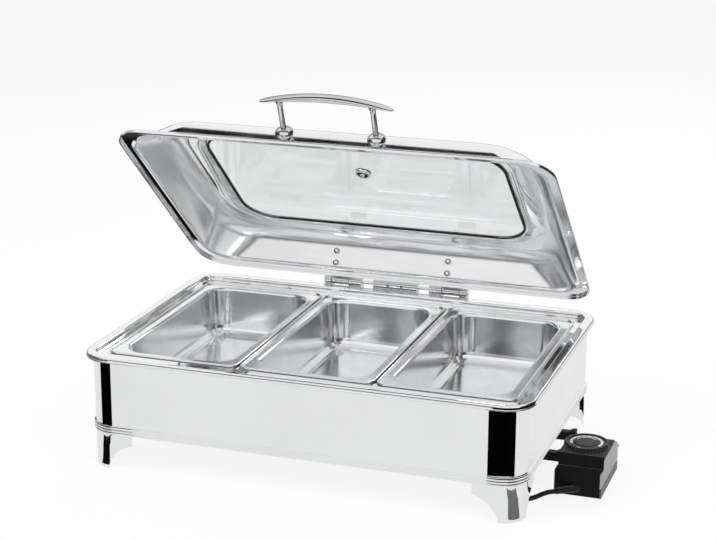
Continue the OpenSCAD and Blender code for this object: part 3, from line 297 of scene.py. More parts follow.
def lip_arc(side, last):
    """Round the lip's corner on one side, from its front to an angle."""
    return [(side * (LIP_X + LIP_R * math.sin(math.radians(a))), LIP_Y - LIP_R * math.cos(math.radians(a)))
            for a in range(0, last + 1, LIP_STEP)]


def upright(line):
    """Points and faces of a card that stands along a line."""
    n = len(line)
    points = level(line, CORNER_LOW) + level(line, CORNER_HIGH)
    return points, [[k, k + 1, n + k + 1, n + k] for k in range(n - 1)]


def card_shade(name, grey):
    made = bpy.data.materials.new(name)
    made.use_nodes = True
    shader = made.node_tree.nodes["Principled BSDF"]
    shader.inputs["Base Color"].default_value = (grey, grey, grey, 1)
    shader.inputs["Roughness"].default_value = 1.0
    shader.inputs["Specular IOR Level"].default_value = 0.0
    return made


def add_card(name, shade, points, faces=None):
    """A card of one face, unless its faces are given."""
    faces = faces or [list(range(len(points)))]
    card = link(name, polygon_mesh(name, [at(*p) for p in points], faces))
    card.data.materials.append(shade)
    card.visible_camera = False
    card.visible_diffuse = False
    card.visible_shadow = False
    card.visible_transmission = False
    card.visible_volume_scatter = False


def make_cards():
    black, grey = card_shade("card_black", BLACK_CARD), card_shade("card_grey", GREY_CARD)
    add_card("card_foot_left", black, level(FOOT_LEFT, FOOT_CARD_Z))
    add_card("card_foot_rear", black, level(FOOT_REAR, FOOT_CARD_Z))
    add_card("card_foot_right", grey, level(FOOT_RIGHT, FOOT_CARD_Z))
    add_card("card_lip_right", black, level(lip_arc(1, LIP_RIGHT_TURN) + LIP_RIGHT, LIP_CARD_Z))
    add_card("card_lip_left", grey, level(lip_arc(-1, LIP_LEFT_TURN) + LIP_LEFT, LIP_CARD_Z))
    add_card("card_flange", black, level(FLANGE_CARD, LIP_CARD_Z))
    add_card("card_strip", black, WALL_STRIP)
    add_card("card_handle", black, level(BAR_STRIP, BAR_STRIP_Z))
    add_card("card_right", black, *upright(CORNER_RIGHT))
    add_card("card_left", black, *upright(CORNER_LEFT))


# Materials

# The clouds' scale as a share of the grain's, and the detail of each noise
CLOUD_SCALE, CLOUD_DETAIL, STREAK_DETAIL, BUMP_DETAIL = 0.3, 3, 5, 2
# The part of a noise that is spread over the whole range
NOISE_LOW, NOISE_HIGH = 0.3, 0.7
LEAST_ROUGH, BUMP_DEPTH = 0.01, 0.4 * MM


def noise(tree, where, scale, detail):
    node = tree.nodes.new("ShaderNodeTexNoise")
    node.inputs["Scale"].default_value = scale
    node.inputs["Detail"].default_value = detail
    tree.links.new(where, node.inputs["Vector"])
    return node.outputs["Fac"]


def surface(name, base, rough, tint, grain, stretch=(1, 1, 1), bump=None, metal=False, **sockets):
    """A procedural finish: colour that varies softly, roughness that varies along a grain, and a fine bump.

    rough is a middle value and how far it varies, bump is a strength and a grain of its own, and sockets are
    further inputs of the shader."""
    made = bpy.data.materials.new(name)
    made.use_nodes = True
    tree = made.node_tree
    shader = tree.nodes["Principled BSDF"]
    shader.inputs["Metallic"].default_value = float(metal)
    for socket, value in sockets.items():
        shader.inputs[socket.replace("_", " ")].default_value = value
    where = tree.nodes.new("ShaderNodeTexCoord").outputs["Object"]
    mapping = tree.nodes.new("ShaderNodeMapping")
    mapping.inputs["Scale"].default_value = stretch
    tree.links.new(where, mapping.inputs["Vector"])
    stretched = mapping.outputs["Vector"]

    cloud = noise(tree, where, grain * CLOUD_SCALE, CLOUD_DETAIL)
    ramp = tree.nodes.new("ShaderNodeValToRGB")
    dark, light = ramp.color_ramp.elements
    dark.position, light.position = NOISE_LOW, NOISE_HIGH
    dark.color = (*[c * (1 - tint) for c in base], 1)
    light.color = (*[min(1.0, c * (1 + tint)) for c in base], 1)
    tree.links.new(cloud, ramp.inputs["Fac"])
    tree.links.new(ramp.outputs["Color"], shader.inputs["Base Color"])

    middle, spread = rough
    span = tree.nodes.new("ShaderNodeMapRange")
    span.inputs["From Min"].default_value = NOISE_LOW
    span.inputs["From Max"].default_value = NOISE_HIGH
    span.inputs["To Min"].default_value = max(LEAST_ROUGH, middle - spread)
    span.inputs["To Max"].default_value = middle + spread
    tree.links.new(noise(tree, stretched, grain, STREAK_DETAIL), span.inputs["Value"])
    tree.links.new(span.outputs["Result"], shader.inputs["Roughness"])

    if bump:
        strength, bump_grain = bump
        relief = tree.nodes.new("ShaderNodeBump")
        relief.inputs["Strength"].default_value = strength
        relief.inputs["Distance"].default_value = BUMP_DEPTH
        tree.links.new(noise(tree, stretched, bump_grain, BUMP_DETAIL), relief.inputs["Height"])
        tree.links.new(relief.outputs["Normal"], shader.inputs["Normal"])
    return made


MIRROR = surface("mirror_steel", (0.86, 0.865, 0.87), rough=(0.05, 0.02), tint=0.02, grain=30,
                 stretch=(1, 1, 6), metal=True)
LID_STEEL = surface("lid_steel", (0.84, 0.845, 0.85), rough=(0.07, 0.02), tint=0.03, grain=24,
                    stretch=(1, 6, 6), metal=True)
SATIN = surface("lid_inside", (0.89, 0.893, 0.897), rough=(0.19, 0.02), tint=0.02, grain=24,
                stretch=(1, 6, 6), metal=True)
HINGE_STEEL = surface("hinge_steel", (0.6, 0.605, 0.61), rough=(0.14, 0.04), tint=0.06, grain=60,
                      stretch=(6, 1, 1), metal=True)
# Its specular tint is black, which darkens its edges at grazing angles: a painted dark outline
HANDLE_STEEL = surface("handle_steel", (0.7, 0.705, 0.71), rough=(0.05, 0.02), tint=0.04, grain=60,
                       stretch=(6, 1, 1), metal=True, Specular_Tint=(0, 0, 0, 1))
RIM_STEEL = surface("rim_steel", (0.85, 0.855, 0.86), rough=(0.06, 0.02), tint=0.03, grain=40, metal=True)
PAN_STEEL = surface("pan_steel", (0.84, 0.845, 0.85), rough=(0.15, 0.03), tint=0.03, grain=140,
                    stretch=(1, 7, 7), bump=(0.02, 1400), metal=True)
PLATE_STEEL = surface("plate_steel", (0.62, 0.63, 0.64), rough=(0.38, 0.08), tint=0.06, grain=80,
                      stretch=(9, 1, 9), bump=(0.05, 600), metal=True)
ZINC = surface("zinc_plate", (0.62, 0.63, 0.64), rough=(0.32, 0.08), tint=0.08, grain=300,
               bump=(0.1, 1500), metal=True)
ALUMINIUM = surface("rolled_aluminium", (0.74, 0.75, 0.77), rough=(0.4, 0.08), tint=0.05, grain=60,
                    stretch=(1, 8, 8), bump=(0.05, 700), metal=True)
DULLED = surface("dulled_steel", (0.3, 0.28, 0.26), rough=(0.45, 0.1), tint=0.2, grain=90,
                 bump=(0.1, 900), metal=True)
CERAMIC = surface("terminal_cream", (0.82, 0.79, 0.72), rough=(0.5, 0.1), tint=0.05, grain=90,
                  bump=(0.15, 1400))
WASHER = surface("washer_nylon", (0.06, 0.06, 0.065), rough=(0.5, 0.1), tint=0.1, grain=200,
                 bump=(0.1, 1400))
GASKET = surface("gasket_rubber", (0.01, 0.01, 0.01), rough=(0.5, 0.08), tint=0.2, grain=120,
                 bump=(0.15, 1600), Specular_IOR_Level=0.3)
GLASS = surface("window_glass", (0.86, 0.875, 0.88), rough=(0.02, 0.01), tint=0.005, grain=20,
                Transmission_Weight=1.0, IOR=1.46, Specular_IOR_Level=0.3)
PLASTIC = surface("black_plastic", (0.004, 0.004, 0.0042), rough=(0.4, 0.06), tint=0.15, grain=120,
                  bump=(0.12, 2200), Specular_IOR_Level=0.12)
DIAL = surface("dial_plastic", (0.008, 0.008, 0.0085), rough=(0.32, 0.06), tint=0.15, grain=160,
               bump=(0.1, 2600), Specular_IOR_Level=0.2)
PANEL = surface("panel_grey", (0.45, 0.455, 0.46), rough=(0.42, 0.08), tint=0.1, grain=120,
                stretch=(1, 8, 1), bump=(0.2, 2200))
CORD = surface("cord_pvc", (0.006, 0.006, 0.006), rough=(0.42, 0.08), tint=0.2, grain=150,
               bump=(0.2, 1800), Specular_IOR_Level=0.25)
NICKEL = surface("pin_nickel", (0.78, 0.74, 0.64), rough=(0.24, 0.06), tint=0.06, grain=300,
                 stretch=(6, 1, 1), bump=(0.05, 1500), metal=True)
PRINT = surface("dial_print", (0.86, 0.86, 0.85), rough=(0.5, 0.06), tint=0.03, grain=300,
                bump=(0.05, 2400))
# Blackened steel for the set screws; the vent's throat and the rivets' collars take it as painted shade
DARK_STEEL_AND_SHADE = surface("blackened_steel_and_painted_shade", (0.03, 0.03, 0.032), rough=(0.4, 0.08), tint=0.1, grain=400,
                     bump=(0.1, 2400), metal=True)

# Heights on the controller's side panel: a dark band below, a black line painted as groove shade, then pale
# ribs
PANEL_H, PANEL_TONES_AND_GROOVE_SHADE = 60.0, ((0.0, 0.14), (10.4, 0.02), (12.4, 0.86))


def shade_panel():
    """Darken the panel's finish up to the foot of its ribs, with a black line there painted as a groove's
    shade.
    """
    tree = PANEL.node_tree
    shader = tree.nodes["Principled BSDF"]
    colour = shader.inputs["Base Color"].links[0].from_socket
    where = tree.nodes.new("ShaderNodeTexCoord")
    split = tree.nodes.new("ShaderNodeSeparateXYZ")
    tree.links.new(where.outputs["Object"], split.inputs[0])
    height = scaled(tree, split.outputs["Z"], 1 / (PANEL_H * MM))
    # The black step stands in for the shade in a groove at the ribs' foot
    tones = grey_ramp(tree, height, [(z / PANEL_H, grey) for z, grey in PANEL_TONES_AND_GROOVE_SHADE], "CONSTANT")
    tree.links.new(multiplied(tree, colour, tones), shader.inputs["Base Color"])


# Pieces that keep the solids' shapes

FINISHES = {
    MIRROR: ("body_shell", "base_band", "foot_front_left", "foot_front_right", "foot_rear_left",
             "foot_rear_right", "handle_screws", "hinge_pin"),
    HINGE_STEEL: ("hinge_arm_left", "hinge_arm_right", "hinge_bracket"),
    RIM_STEEL: ("water_pan",),
    PAN_STEEL: ("pan_left", "pan_middle", "pan_right"),
    PLATE_STEEL: ("base_plate",),
    ZINC: ("foot_screws", "clip_screws", "hinge_screws", "arm_screws", "element_clips", "dial_shaft"),
    ALUMINIUM: ("heat_spreader",),
    DULLED: ("heating_element",),
    CERAMIC: ("terminal_block",),
    WASHER: ("friction_washers",),
    GLASS: ("lid_window",),
    PLASTIC: ("controller_base", "controller_cover", "controller_arms"),
    DIAL: ("dial_knob",),
    PANEL: ("ribbed_panel",),
    CORD: ("cord_relief", "coil_tie", "mains_plug"),
    NICKEL: ("plug_pins",),
}
# The photograph's wall beside the controller shows no reflection of it
UNREFLECTED = ("controller_base", "controller_cover", "controller_arms", "ribbed_panel", "dial_knob",
               "dial_shaft")
# Moulded edges that show a fine highlight, with their widths
SOFT_EDGES = {"controller_base": 0.6, "controller_cover": 0.8, "controller_arms": 0.5, "mains_plug": 0.6}
WELD_GAP, EDGE_SEGMENTS, EDGE_ANGLE = 0.01, 2, math.radians(35)


def dress_nodes():
    for finish, names in FINISHES.items():
        for name in names:
            nodes[name].data.materials.clear()
            nodes[name].data.materials.append(finish)
    for name in UNREFLECTED:
        nodes[name].visible_glossy = False
    for name, width in SOFT_EDGES.items():
        weld = nodes[name].modifiers.new("weld", "WELD")
        weld.merge_threshold = WELD_GAP * MM
        bevel = nodes[name].modifiers.new("soft_edges", "BEVEL")
        bevel.width = width * MM
        bevel.segments = EDGE_SEGMENTS
        bevel.limit_method = "ANGLE"
        bevel.angle_limit = EDGE_ANGLE


# Pieces drawn here, some of them instead of solids


def add_piece(name, data, finishes, body, slot, *instead_of):
    piece = link(name, data)
    for finish in finishes:
        piece.data.materials.append(finish)
    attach(piece, body)
    if instead_of:
        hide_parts(*instead_of)
    return piece


def add_form(name, shape, finishes, body, slot, *instead_of, crease, second=()):
    """A piece made of points and faces."""
    points, faces = shape
    mesh = polygon_mesh(name, points, faces, crease, second)
    return add_piece(name, mesh, finishes, body, slot, *instead_of)


def ring_skin(rings, closed=True):
    """Points and faces over rings of the same count; closed also joins the last ring to the first."""
    n = len(rings[0])
    faces = []
    for i in range(len(rings) if closed else len(rings) - 1):
        j = (i + 1) % len(rings)
        for k in range(n):
            m = (k + 1) % n
            faces.append([i * n + k, i * n + m, j * n + m, j * n + k])
    return [p for ring in rings for p in ring], faces


def capped(rings):
    """A skin over rings that is closed by a face at each end."""
    n = len(rings[0])
    points, faces = ring_skin(rings, closed=False)
    faces.append(list(range(n))[::-1])
    faces.append([(len(rings) - 1) * n + k for k in range(n)])
    return points, faces


LATHE_SIDES, SMALL_SIDES = 48, 24


def lathe(profile, place, sides=LATHE_SIDES):
    """A turned form: radius and height along its profile, put in place point by point."""
    return capped([[place(r * math.cos(2 * math.pi * k / sides), r * math.sin(2 * math.pi * k / sides), z)
                    for k in range(sides)] for r, z in profile])


def joined(*shells):
    points, faces = [], []
    for shell_points, shell_faces in shells:
        start = len(points)
        points += shell_points
        faces += [[start + i for i in face] for face in shell_faces]
    return points, faces


# Cord: its route as listed in the part's source, and then the turns of its coil

CORD_D, CORD_ROUND = 6.0, 4
ROUTE = [
    (303, -94, 9), (299, -97, 9), (295, -100, 9), (288.5, -105, 7.4), (282, -110, 5),
    (275.5, -114.5, 3.6), (268, -118.5, 3.2), (255, -122, 3.2), (240, -119, 3.2), (229, -108, 3.2),
    (225, -93, 3.2), (223, -75, 3.2), (220, -55, 3.2), (216, -30, 3.2), (208, 20, 3.2),
    (204, 45, 3.2), (200, 70, 3.2), (196, 95, 3.2), (192, 120, 3.2), (188, 145, 3.2),
    (184, 170, 3.2), (180, 193, 3.2), (177, 212, 3.6), (176, 226, 4.2), (176, 236, 4.2),
    (176, 246, 4.2),
]
COIL_MID, COIL_R, COIL_PITCH, COIL_TURNS, COIL_Z = (134, 252), 42.0, 6.6, 5.25, 4.2
# Steps between two points of the route, and degrees between two points of the coil
ROUTE_STEPS, COIL_STEP = 4, 5


def route_line():
    """A smooth curve through the route's points."""
    points = [Vector(p) for p in ROUTE]
    line = []
    for i in range(len(points) - 1):
        a, b, c, d = points[max(i - 1, 0)], points[i], points[i + 1], points[min(i + 2, len(points) - 1)]
        for k in range(ROUTE_STEPS):
            t = k / ROUTE_STEPS
            line.append(b + t * (c - a) / 2 + t * t * (a - 2.5 * b + 2 * c - d / 2)
                        + t ** 3 * (1.5 * b - 1.5 * c + (d - a) / 2))
    return line


def coil_line():
    """Turns that wind in, climb over half a turn and wind out on top, with a short lead at each end."""
    half = COIL_TURNS * 180
    inner = COIL_R - COIL_PITCH * COIL_TURNS / 2
    x, y = COIL_MID
    line = [Vector((x + COIL_R, y - CORD_D, COIL_Z))]
    for k in range(int(2 * half / COIL_STEP) + 1):
        a = k * COIL_STEP
        r = inner + COIL_PITCH * abs(a - half) / 360
        climb = min(max((a - half + 90) / 180, 0), 1)
        line.append(Vector((x + r * math.cos(math.radians(a)), y + r * math.sin(math.radians(a)),
                            COIL_Z + COIL_PITCH * climb * climb * (3 - 2 * climb))))
    line.append(line[-1] - Vector((CORD_D, 0, 0)))
    return line


def make_cord():
    line = [at(*p) for p in route_line() + coil_line()]
    data = bpy.data.curves.new("mains_cord", "CURVE")
    data.dimensions = "3D"
    data.bevel_depth = CORD_D / 2 * MM
    data.bevel_resolution = CORD_ROUND
    data.use_fill_caps = True
    spline = data.splines.new("POLY")
    spline.points.add(len(line) - 1)
    for point, p in zip(spline.points, line):
        point.co = (*p, 1)
    spline.use_smooth = True
    cord = add_piece("mains_cord", data, [CORD], "base", "cord_rubber", "power_cord", "cord_coil")


# Lid: its sheet, with the solid's section in finer steps and with rounder corners

# The sheet, and the closed lid: its width, its front and rear, the height of its edge, and its own height
SHEET, LID_W, LID_FRONT, LID_REAR, LID_Z, LID_H = 1.2, 568.0, -194.0, 186.0, 151.5, 48.0
LID_D, LID_MID = LID_REAR - LID_FRONT, (LID_REAR + LID_FRONT) / 2
# The hinge's axis, and how far the lid is open at rest
PIVOT_Y, PIVOT_Z, LID_OPEN = 206.0, 156.0, math.radians(41.4)
# The flange's width and edge, the walls' slope, and where they start, in from and above the flange
LID_FLANGE, LID_EDGE, SLOPE, WALL_START = 13.8, 5.0, math.radians(62), 2.0
WALL_IN, WALL_LOW = LID_FLANGE + WALL_START, LID_EDGE + WALL_START
# Bends along the section, with their steps, and how far the section runs on past the last one
EDGE_R, FOLD_R, SHOULDER_R = 1.6, 6.0, 30.0
EDGE_STEPS, FOLD_STEPS, SHOULDER_STEPS = 6, 10, 28
CROWN_PAST = 1.0
# Corners seen from above, at the edge, the fold and the shoulder
LID_R, FOLD_CORNER_R, SHOULDER_CORNER_R, CORNER_STEPS = 40.0, 42.0, 60.0, 20
# Points this far from a bend keep the flat stretches flat where they have room for them
HOLD = 0.8
HOLD_ROOM = 3 * HOLD
# The window's hole in the sheet, and the beads round it: width, height, count, and how far out they begin
HOLE_W, HOLE_D, HOLE_R = 401.0, 225.0, 42.5
BEAD_W, BEAD_UP, BEAD_COUNT, BEAD_BAND, BEAD_STEPS = 3.6, 1.3, 2, 11.0, 8
# The sheet ends this far out from the hole's line, and the groove for the glass this far in from it
SHEET_OUT, GLASS_IN = 0.35, 0.5
# Thickness of the glass, and a fine gap where pieces sit on each other
GLASS_T, SEAT = 4.0, 0.02


def swung(x, y, z):
    """A point of the closed lid, in millimetres, where the open lid has it."""
    dy, dz = y - PIVOT_Y, z - PIVOT_Z
    return at(x, PIVOT_Y + dy * math.cos(LID_OPEN) + dz * math.sin(LID_OPEN),
              PIVOT_Z - dy * math.sin(LID_OPEN) + dz * math.cos(LID_OPEN))


def rounded_line(points, radii, steps):
    """A line with its inner corners rounded off."""
    line = [Vector(points[0])]
    for a, b, c, r, n in zip(points, points[1:], points[2:], radii, steps):
        a, b, c = Vector(a), Vector(b), Vector(c)
        u, v = (a - b).normalized(), (c - b).normalized()
        half = u.angle(v) / 2
        middle = b + (u + v).normalized() * (r / math.sin(half))
        start, end = b + u * (r / math.tan(half)), b + v * (r / math.tan(half))
        first, sweep = start - middle, (start - middle).angle_signed(end - middle)
        for k in range(n + 1):
            turn = -sweep * k / n
            line.append(middle + Vector((first.x * math.cos(turn) - first.y * math.sin(turn),
                                         first.x * math.sin(turn) + first.y * math.cos(turn))))
    line.append(Vector(points[-1]))
    return line


def lid_section():
    """Distance in from the lid's edge and height above it, along the outer face up to the crown."""
    lean = 1 / math.tan(SLOPE)
    fold = WALL_IN - (WALL_LOW - LID_EDGE) * lean
    top = WALL_IN + (LID_H - WALL_LOW) * lean
    crown = top + SHOULDER_R * math.tan(SLOPE / 2)
    line = [(0, 0), (0, LID_EDGE), (fold, LID_EDGE), (top, LID_H), (crown + CROWN_PAST, LID_H)]
    line = rounded_line(line, (EDGE_R, FOLD_R, SHOULDER_R), (EDGE_STEPS, FOLD_STEPS, SHOULDER_STEPS))
    held = line[:1]
    for p, q in zip(line, line[1:]):
        if (q - p).length > HOLD_ROOM:
            step = (q - p).normalized() * HOLD
            held += [p + step, q - step]
        held.append(q)
    return held, crown


def corner_radius(inset, crown):
    """The radius of the lid's corners, seen from above, at a distance in from its edge."""
    shoulder = crown - SHOULDER_R * math.sin(SLOPE)
    table = [(0, LID_R), (LID_FLANGE, FOLD_CORNER_R), (WALL_IN, FOLD_CORNER_R),
             (shoulder, SHOULDER_CORNER_R)]
    for (x0, r0), (x1, r1) in zip(table, table[1:]):
        if inset <= x1:
            return r0 + (r1 - r0) * (inset - x0) / (x1 - x0)
    return SHOULDER_CORNER_R


def round_ring(x, y, r, h):
    """A ring of the closed lid: half sizes to its corners' centres, their radius, and its height."""
    ring = []
    for q, (sx, sy) in enumerate(((1, 1), (-1, 1), (-1, -1), (1, -1))):
        for k in range(-1, CORNER_STEPS + 2):
            a = math.radians(90 * q + 90 * min(max(k, 0), CORNER_STEPS) / CORNER_STEPS)
            past = HOLD * ((k > CORNER_STEPS) - (k < 0))
            ring.append(swung(sx * x + r * math.cos(a) - past * math.sin(a),
                              LID_MID + sy * y + r * math.sin(a) + past * math.cos(a), LID_Z + h))
    return ring


def window(out, h):
    """A ring of the closed lid round its window's hole."""
    return round_ring(HOLE_W / 2 - HOLE_R, HOLE_D / 2 - HOLE_R, HOLE_R + out, h)


def make_lid():
    """The sheet: up its outer face, over the beads to the window's hole, and back along its inner face."""
    section, crown = lid_section()
    normals = []
    for i in range(len(section)):
        d = (section[min(i + 1, len(section) - 1)] - section[max(i - 1, 0)]).normalized()
        normals.append(Vector((1, 0)) if i == 0 else Vector((d.y, -d.x)))

    def ring(i, depth):
        p, move = section[i], normals[i] * depth
        r = corner_radius(p.x, crown)
        return round_ring(LID_W / 2 - p.x - r, LID_D / 2 - p.x - r, r - move.x, p.y + move.y)

    beads = []
    for k in range(BEAD_COUNT * BEAD_STEPS + 1):
        wave = 0.5 - 0.5 * math.cos(2 * math.pi * k / BEAD_STEPS)
        beads.append((BEAD_BAND - BEAD_W * k / BEAD_STEPS, BEAD_UP * wave))
    count = range(len(section))
    rings = [ring(i, 0) for i in count]
    rings += [window(out, LID_H + up) for out, up in beads]
    rings += [window(SHEET_OUT, LID_H), window(SHEET_OUT, LID_H - SHEET)]
    rings += [window(out, LID_H + up - SHEET) for out, up in reversed(beads)]
    rings += [ring(i, SHEET) for i in reversed(count)]
    # The inside is satin from the bead round the window to the fold at the flange
    ring_n, first = len(rings[0]), len(rings) - len(section)
    flange_n = sum(p.x < WALL_IN for p in section)
    inside = range(first * ring_n, (len(rings) - flange_n) * ring_n)
    add_form("lid_sheet", ring_skin(rings), [LID_STEEL, SATIN], "lid", "polished_steel", "lid_shell",
             crease=35, second=inside)


# Half of the seal's section: distance out from the hole's line and height above the sheet's middle
SEAL = [(-GLASS_IN, GLASS_T / 2 + SEAT), (-1.7, GLASS_T / 2 + SEAT), (-1.75, 2.5), (-1.5, 2.9),
        (-1.0, 3.1), (0.6, 3.1), (1.1, 2.9), (1.4, 2.4), (1.45, SHEET / 2 + SEAT), (0.2, SHEET / 2 + SEAT)]


def make_seal():
    """The rubber round the window: it grips the glass on one side and the lid's sheet on the other."""
    section = SEAL + [(out, -up) for out, up in reversed(SEAL)]
    rings = [window(out, LID_H - SHEET / 2 + up) for out, up in section]
    add_form("window_seal", ring_skin(rings), [GASKET], "lid", "gasket_rubber", "window_gasket", crease=40)


# Handle: smooth forms over the solids' sections

WALL_LEN = (LID_H - SHOULDER_R * (1 - math.cos(SLOPE)) - WALL_LOW) / math.sin(SLOPE)
# The handle stands a little above the middle of the front wall, on two posts
HANDLE_LIFT, POST_SPAN = 2.0, 120.0
HANDLE_UP = WALL_LEN / 2 + HANDLE_LIFT
# The bar: its length, height above the wall, thickness and rise, its width and how much it slims
BAR_LEN, BAR_LOW, BAR_T, BAR_RISE, BAR_W, BAR_SLIM = 172.0, 57.5, 7.5, 13.0, 14.0, 2.0
# Its tips: thickness, the length over which they narrow, and the share of the width that stays
TIP_T, TIP_LEN, TIP_SHARE = 1.5, 16.0, 0.3
# Powers that shape its section above and below, and its steps along and round
TOP_POWER, LOW_POWER = 0.8, 0.5
BAR_STEPS, BAR_SIDES = 96, 40
# The posts: radius, radius and height of the flare under the bar, and the flare's steps and curve
POST_R, FLARE_R, FLARE_H, FLARE_STEPS, FLARE_POWER = 3.4, 7.0, 14.0, 12, 2.6
# Their foot below the domes' tops, and their top above the bar's underside this far inside the flare
POST_FOOT, POST_SINK, FLARE_INSIDE = 1.0, 1.2, 1.0
# The domes: radius, height, the neck and lip round the post, and the arc's first angle and step
DOME_R, DOME_H, DOME_NECK, DOME_LIP, DOME_FIRST, DOME_STEP = 11.5, 14.0, 0.5, 0.1, -58, 4
# The rim they stand on: distance in from the dome's radius, and height
DOME_SEAT = [(3.0, SEAT), (2.9, 0.5), (3.3, 0.8)]


def arc_radius(rise):
    """The radius of an arc as long as the bar, with a given rise at its middle."""
    return (BAR_LEN ** 2 / 4 + rise ** 2) / (2 * rise)


# Arcs along the bar's top, its underside and its sides
TOP_ARC, LOW_ARC = arc_radius(BAR_RISE), arc_radius(BAR_RISE - BAR_T + TIP_T)
SIDE_ARC = arc_radius(BAR_SLIM)


def drop(r, x):
    """How far an arc has fallen at a distance from its middle."""
    return r - math.sqrt(r * r - x * x)


def on_front_wall(x, y, z):
    """A point at the handle: across the lid, up its front wall and out from it."""
    c, s = math.cos(SLOPE), math.sin(SLOPE)
    along = HANDLE_UP + y
    return swung(x, LID_FRONT + WALL_IN + along * c - z * s, LID_Z + WALL_LOW + along * s + z * c)


def make_grip():
    """The bowed bar, narrow at its tips and squarer below than above."""
    rings = []
    for i in range(BAR_STEPS + 1):
        x = BAR_LEN / 2 * math.sin(math.pi * (i / BAR_STEPS - 0.5))
        over, under = BAR_LOW + BAR_T - drop(TOP_ARC, x), BAR_LOW - drop(LOW_ARC, x)
        near_tip = min(1.0, (BAR_LEN / 2 - abs(x)) / TIP_LEN)
        narrowed = TIP_SHARE + (1 - TIP_SHARE) * math.sqrt(1 - (1 - near_tip) ** 2)
        wide = (BAR_W / 2 - drop(SIDE_ARC, x)) * narrowed
        ring = []
        for k in range(BAR_SIDES):
            a = 2 * math.pi * k / BAR_SIDES
            c, s = math.cos(a), math.sin(a)
            power = TOP_POWER if s > 0 else LOW_POWER
            up = (over + under) / 2 + (over - under) / 2 * math.copysign(abs(s) ** power, s)
            ring.append(on_front_wall(x, wide * math.copysign(abs(c) ** power, c), up))
        rings.append(ring)
    add_form("handle_grip", capped(rings), [HANDLE_STEEL], "lid", "polished_steel", "handle_bar", crease=50)


def add_pair(name, profile, node):
    """A turned form at both posts of the handle."""
    shells = [lathe(profile, lambda x, y, z, side=side: on_front_wall(side * POST_SPAN / 2 + x, y, z))
              for side in (-1, 1)]
    add_form(name, joined(*shells), [HANDLE_STEEL], "lid", "polished_steel", node, crease=50)


def make_stems():
    top = BAR_LOW - drop(LOW_ARC, POST_SPAN / 2 - FLARE_R - FLARE_INSIDE) + POST_SINK
    post = [(POST_R, DOME_H - POST_FOOT)]
    for k in range(FLARE_STEPS + 1):
        post.append((POST_R + (FLARE_R - POST_R) * (k / FLARE_STEPS) ** FLARE_POWER,
                     top - FLARE_H + FLARE_H * k / FLARE_STEPS))
    add_pair("handle_stems", post, "handle_posts")


def make_feet():
    bulge = DOME_R - POST_R - DOME_NECK
    dome = [(DOME_R - inset, z) for inset, z in DOME_SEAT]
    for degrees in range(DOME_FIRST, 91, DOME_STEP):
        a = math.radians(degrees)
        dome.append((POST_R + DOME_NECK + bulge * math.cos(a), DOME_H * (0.5 + 0.5 * math.sin(a))))
    dome.append((POST_R + DOME_LIP, DOME_H + DOME_LIP))
    add_pair("handle_feet", dome, "handle_domes")


# Small detail on the controller and the hinge

# The dial's axis, and the tops of its skirt and hub
DIAL_X, DIAL_Y, DIAL_TOP, HUB_TOP = 329.5, -47.0, 59.5, 60.3
# How deep the print goes in, and how far the marks and the pointer stand out
PRINT_IN, MARK_UP, POINTER_UP = 0.05, 0.12, 0.1
# Marks: inner and outer radius, half of each one's angle, how far apart they are, the last one, and steps
MARK_R0, MARK_R1, MARK_HALF, MARK_APART, MARK_LAST, MARK_STEPS = 17.4, 20.6, 9.5, 22, 110, 6
# Pointer: inner and outer radius, its first and last angle, and steps
POINTER_R0, POINTER_R1, POINTER_FROM, POINTER_TO, POINTER_STEPS = 12.2, 13.3, 40, 165, 24
# Spot: its place from the dial's axis, and radius and height above the skirt
SPOT_X, SPOT_Y, SPOT = -5.6, -20.4, [(1.5, -PRINT_IN), (1.5, 0.1), (1.3, 0.14)]
# Set screws: distance from the middle, the barrel's radius, and the head's radius and height
SET_SCREW_X, BARREL_R = 10.0, 7.0
SET_SCREW = [(0.9, -0.9), (0.9, 0.12), (1.5, 0.2), (1.9, 0.05), (1.9, -0.6)]


def arc_block(r0, r1, a0, a1, z0, z1, steps):
    """A thin piece of a ring, round the dial's axis."""
    rim = []
    for r, order in ((r0, range(steps + 1)), (r1, range(steps, -1, -1))):
        for k in order:
            a = math.radians(a0 + (a1 - a0) * k / steps)
            rim.append((DIAL_X + r * math.cos(a), DIAL_Y + r * math.sin(a)))
    n = len(rim)
    points = [at(x, y, z) for z in (z0, z1) for x, y in rim]
    faces = [list(range(n))[::-1], list(range(n, 2 * n))]
    faces += [[k, (k + 1) % n, n + (k + 1) % n, n + k] for k in range(n)]
    return points, faces


def make_dial_print():
    """Plain bars round the skirt, a spot in the gap that they leave, and an arc on the hub."""
    marks = [arc_block(MARK_R0, MARK_R1, 90 + a - MARK_HALF, 90 + a + MARK_HALF,
                       DIAL_TOP - PRINT_IN, DIAL_TOP + MARK_UP, MARK_STEPS)
             for a in range(-MARK_LAST, MARK_LAST + 1, MARK_APART)]
    spot = lathe([(r, DIAL_TOP + z) for r, z in SPOT],
                 lambda x, y, z: at(DIAL_X + SPOT_X + x, DIAL_Y + SPOT_Y + y, z), SMALL_SIDES)
    pointer = arc_block(POINTER_R0, POINTER_R1, POINTER_FROM, POINTER_TO,
                        HUB_TOP - PRINT_IN, HUB_TOP + POINTER_UP, POINTER_STEPS)
    shape = joined(spot, pointer, *marks)
    piece = add_form("dial_print", shape, [PRINT], "dial", "black_plastic", crease=30)
    piece.visible_glossy = False


def make_set_screws():
    """Two small socket screws in the front of the hinge's middle barrel."""
    shells = [lathe(SET_SCREW, lambda x, y, z, side=side:
                    at(side * SET_SCREW_X + x, PIVOT_Y - BARREL_R - z, PIVOT_Z + y), SMALL_SIDES)
              for side in (-1, 1)]
    add_form("hinge_set_screws", joined(*shells), [DARK_STEEL_AND_SHADE], "base", "zinc_steel", crease=30)


# Vent and rivets in the lid

# The vent's place, its shank, and how high its outer face is against the inner one
VENT_X, VENT_FRONT, VENT_SHANK, VENT_OUTER = 5.0, 42.0, 4.2, 0.8
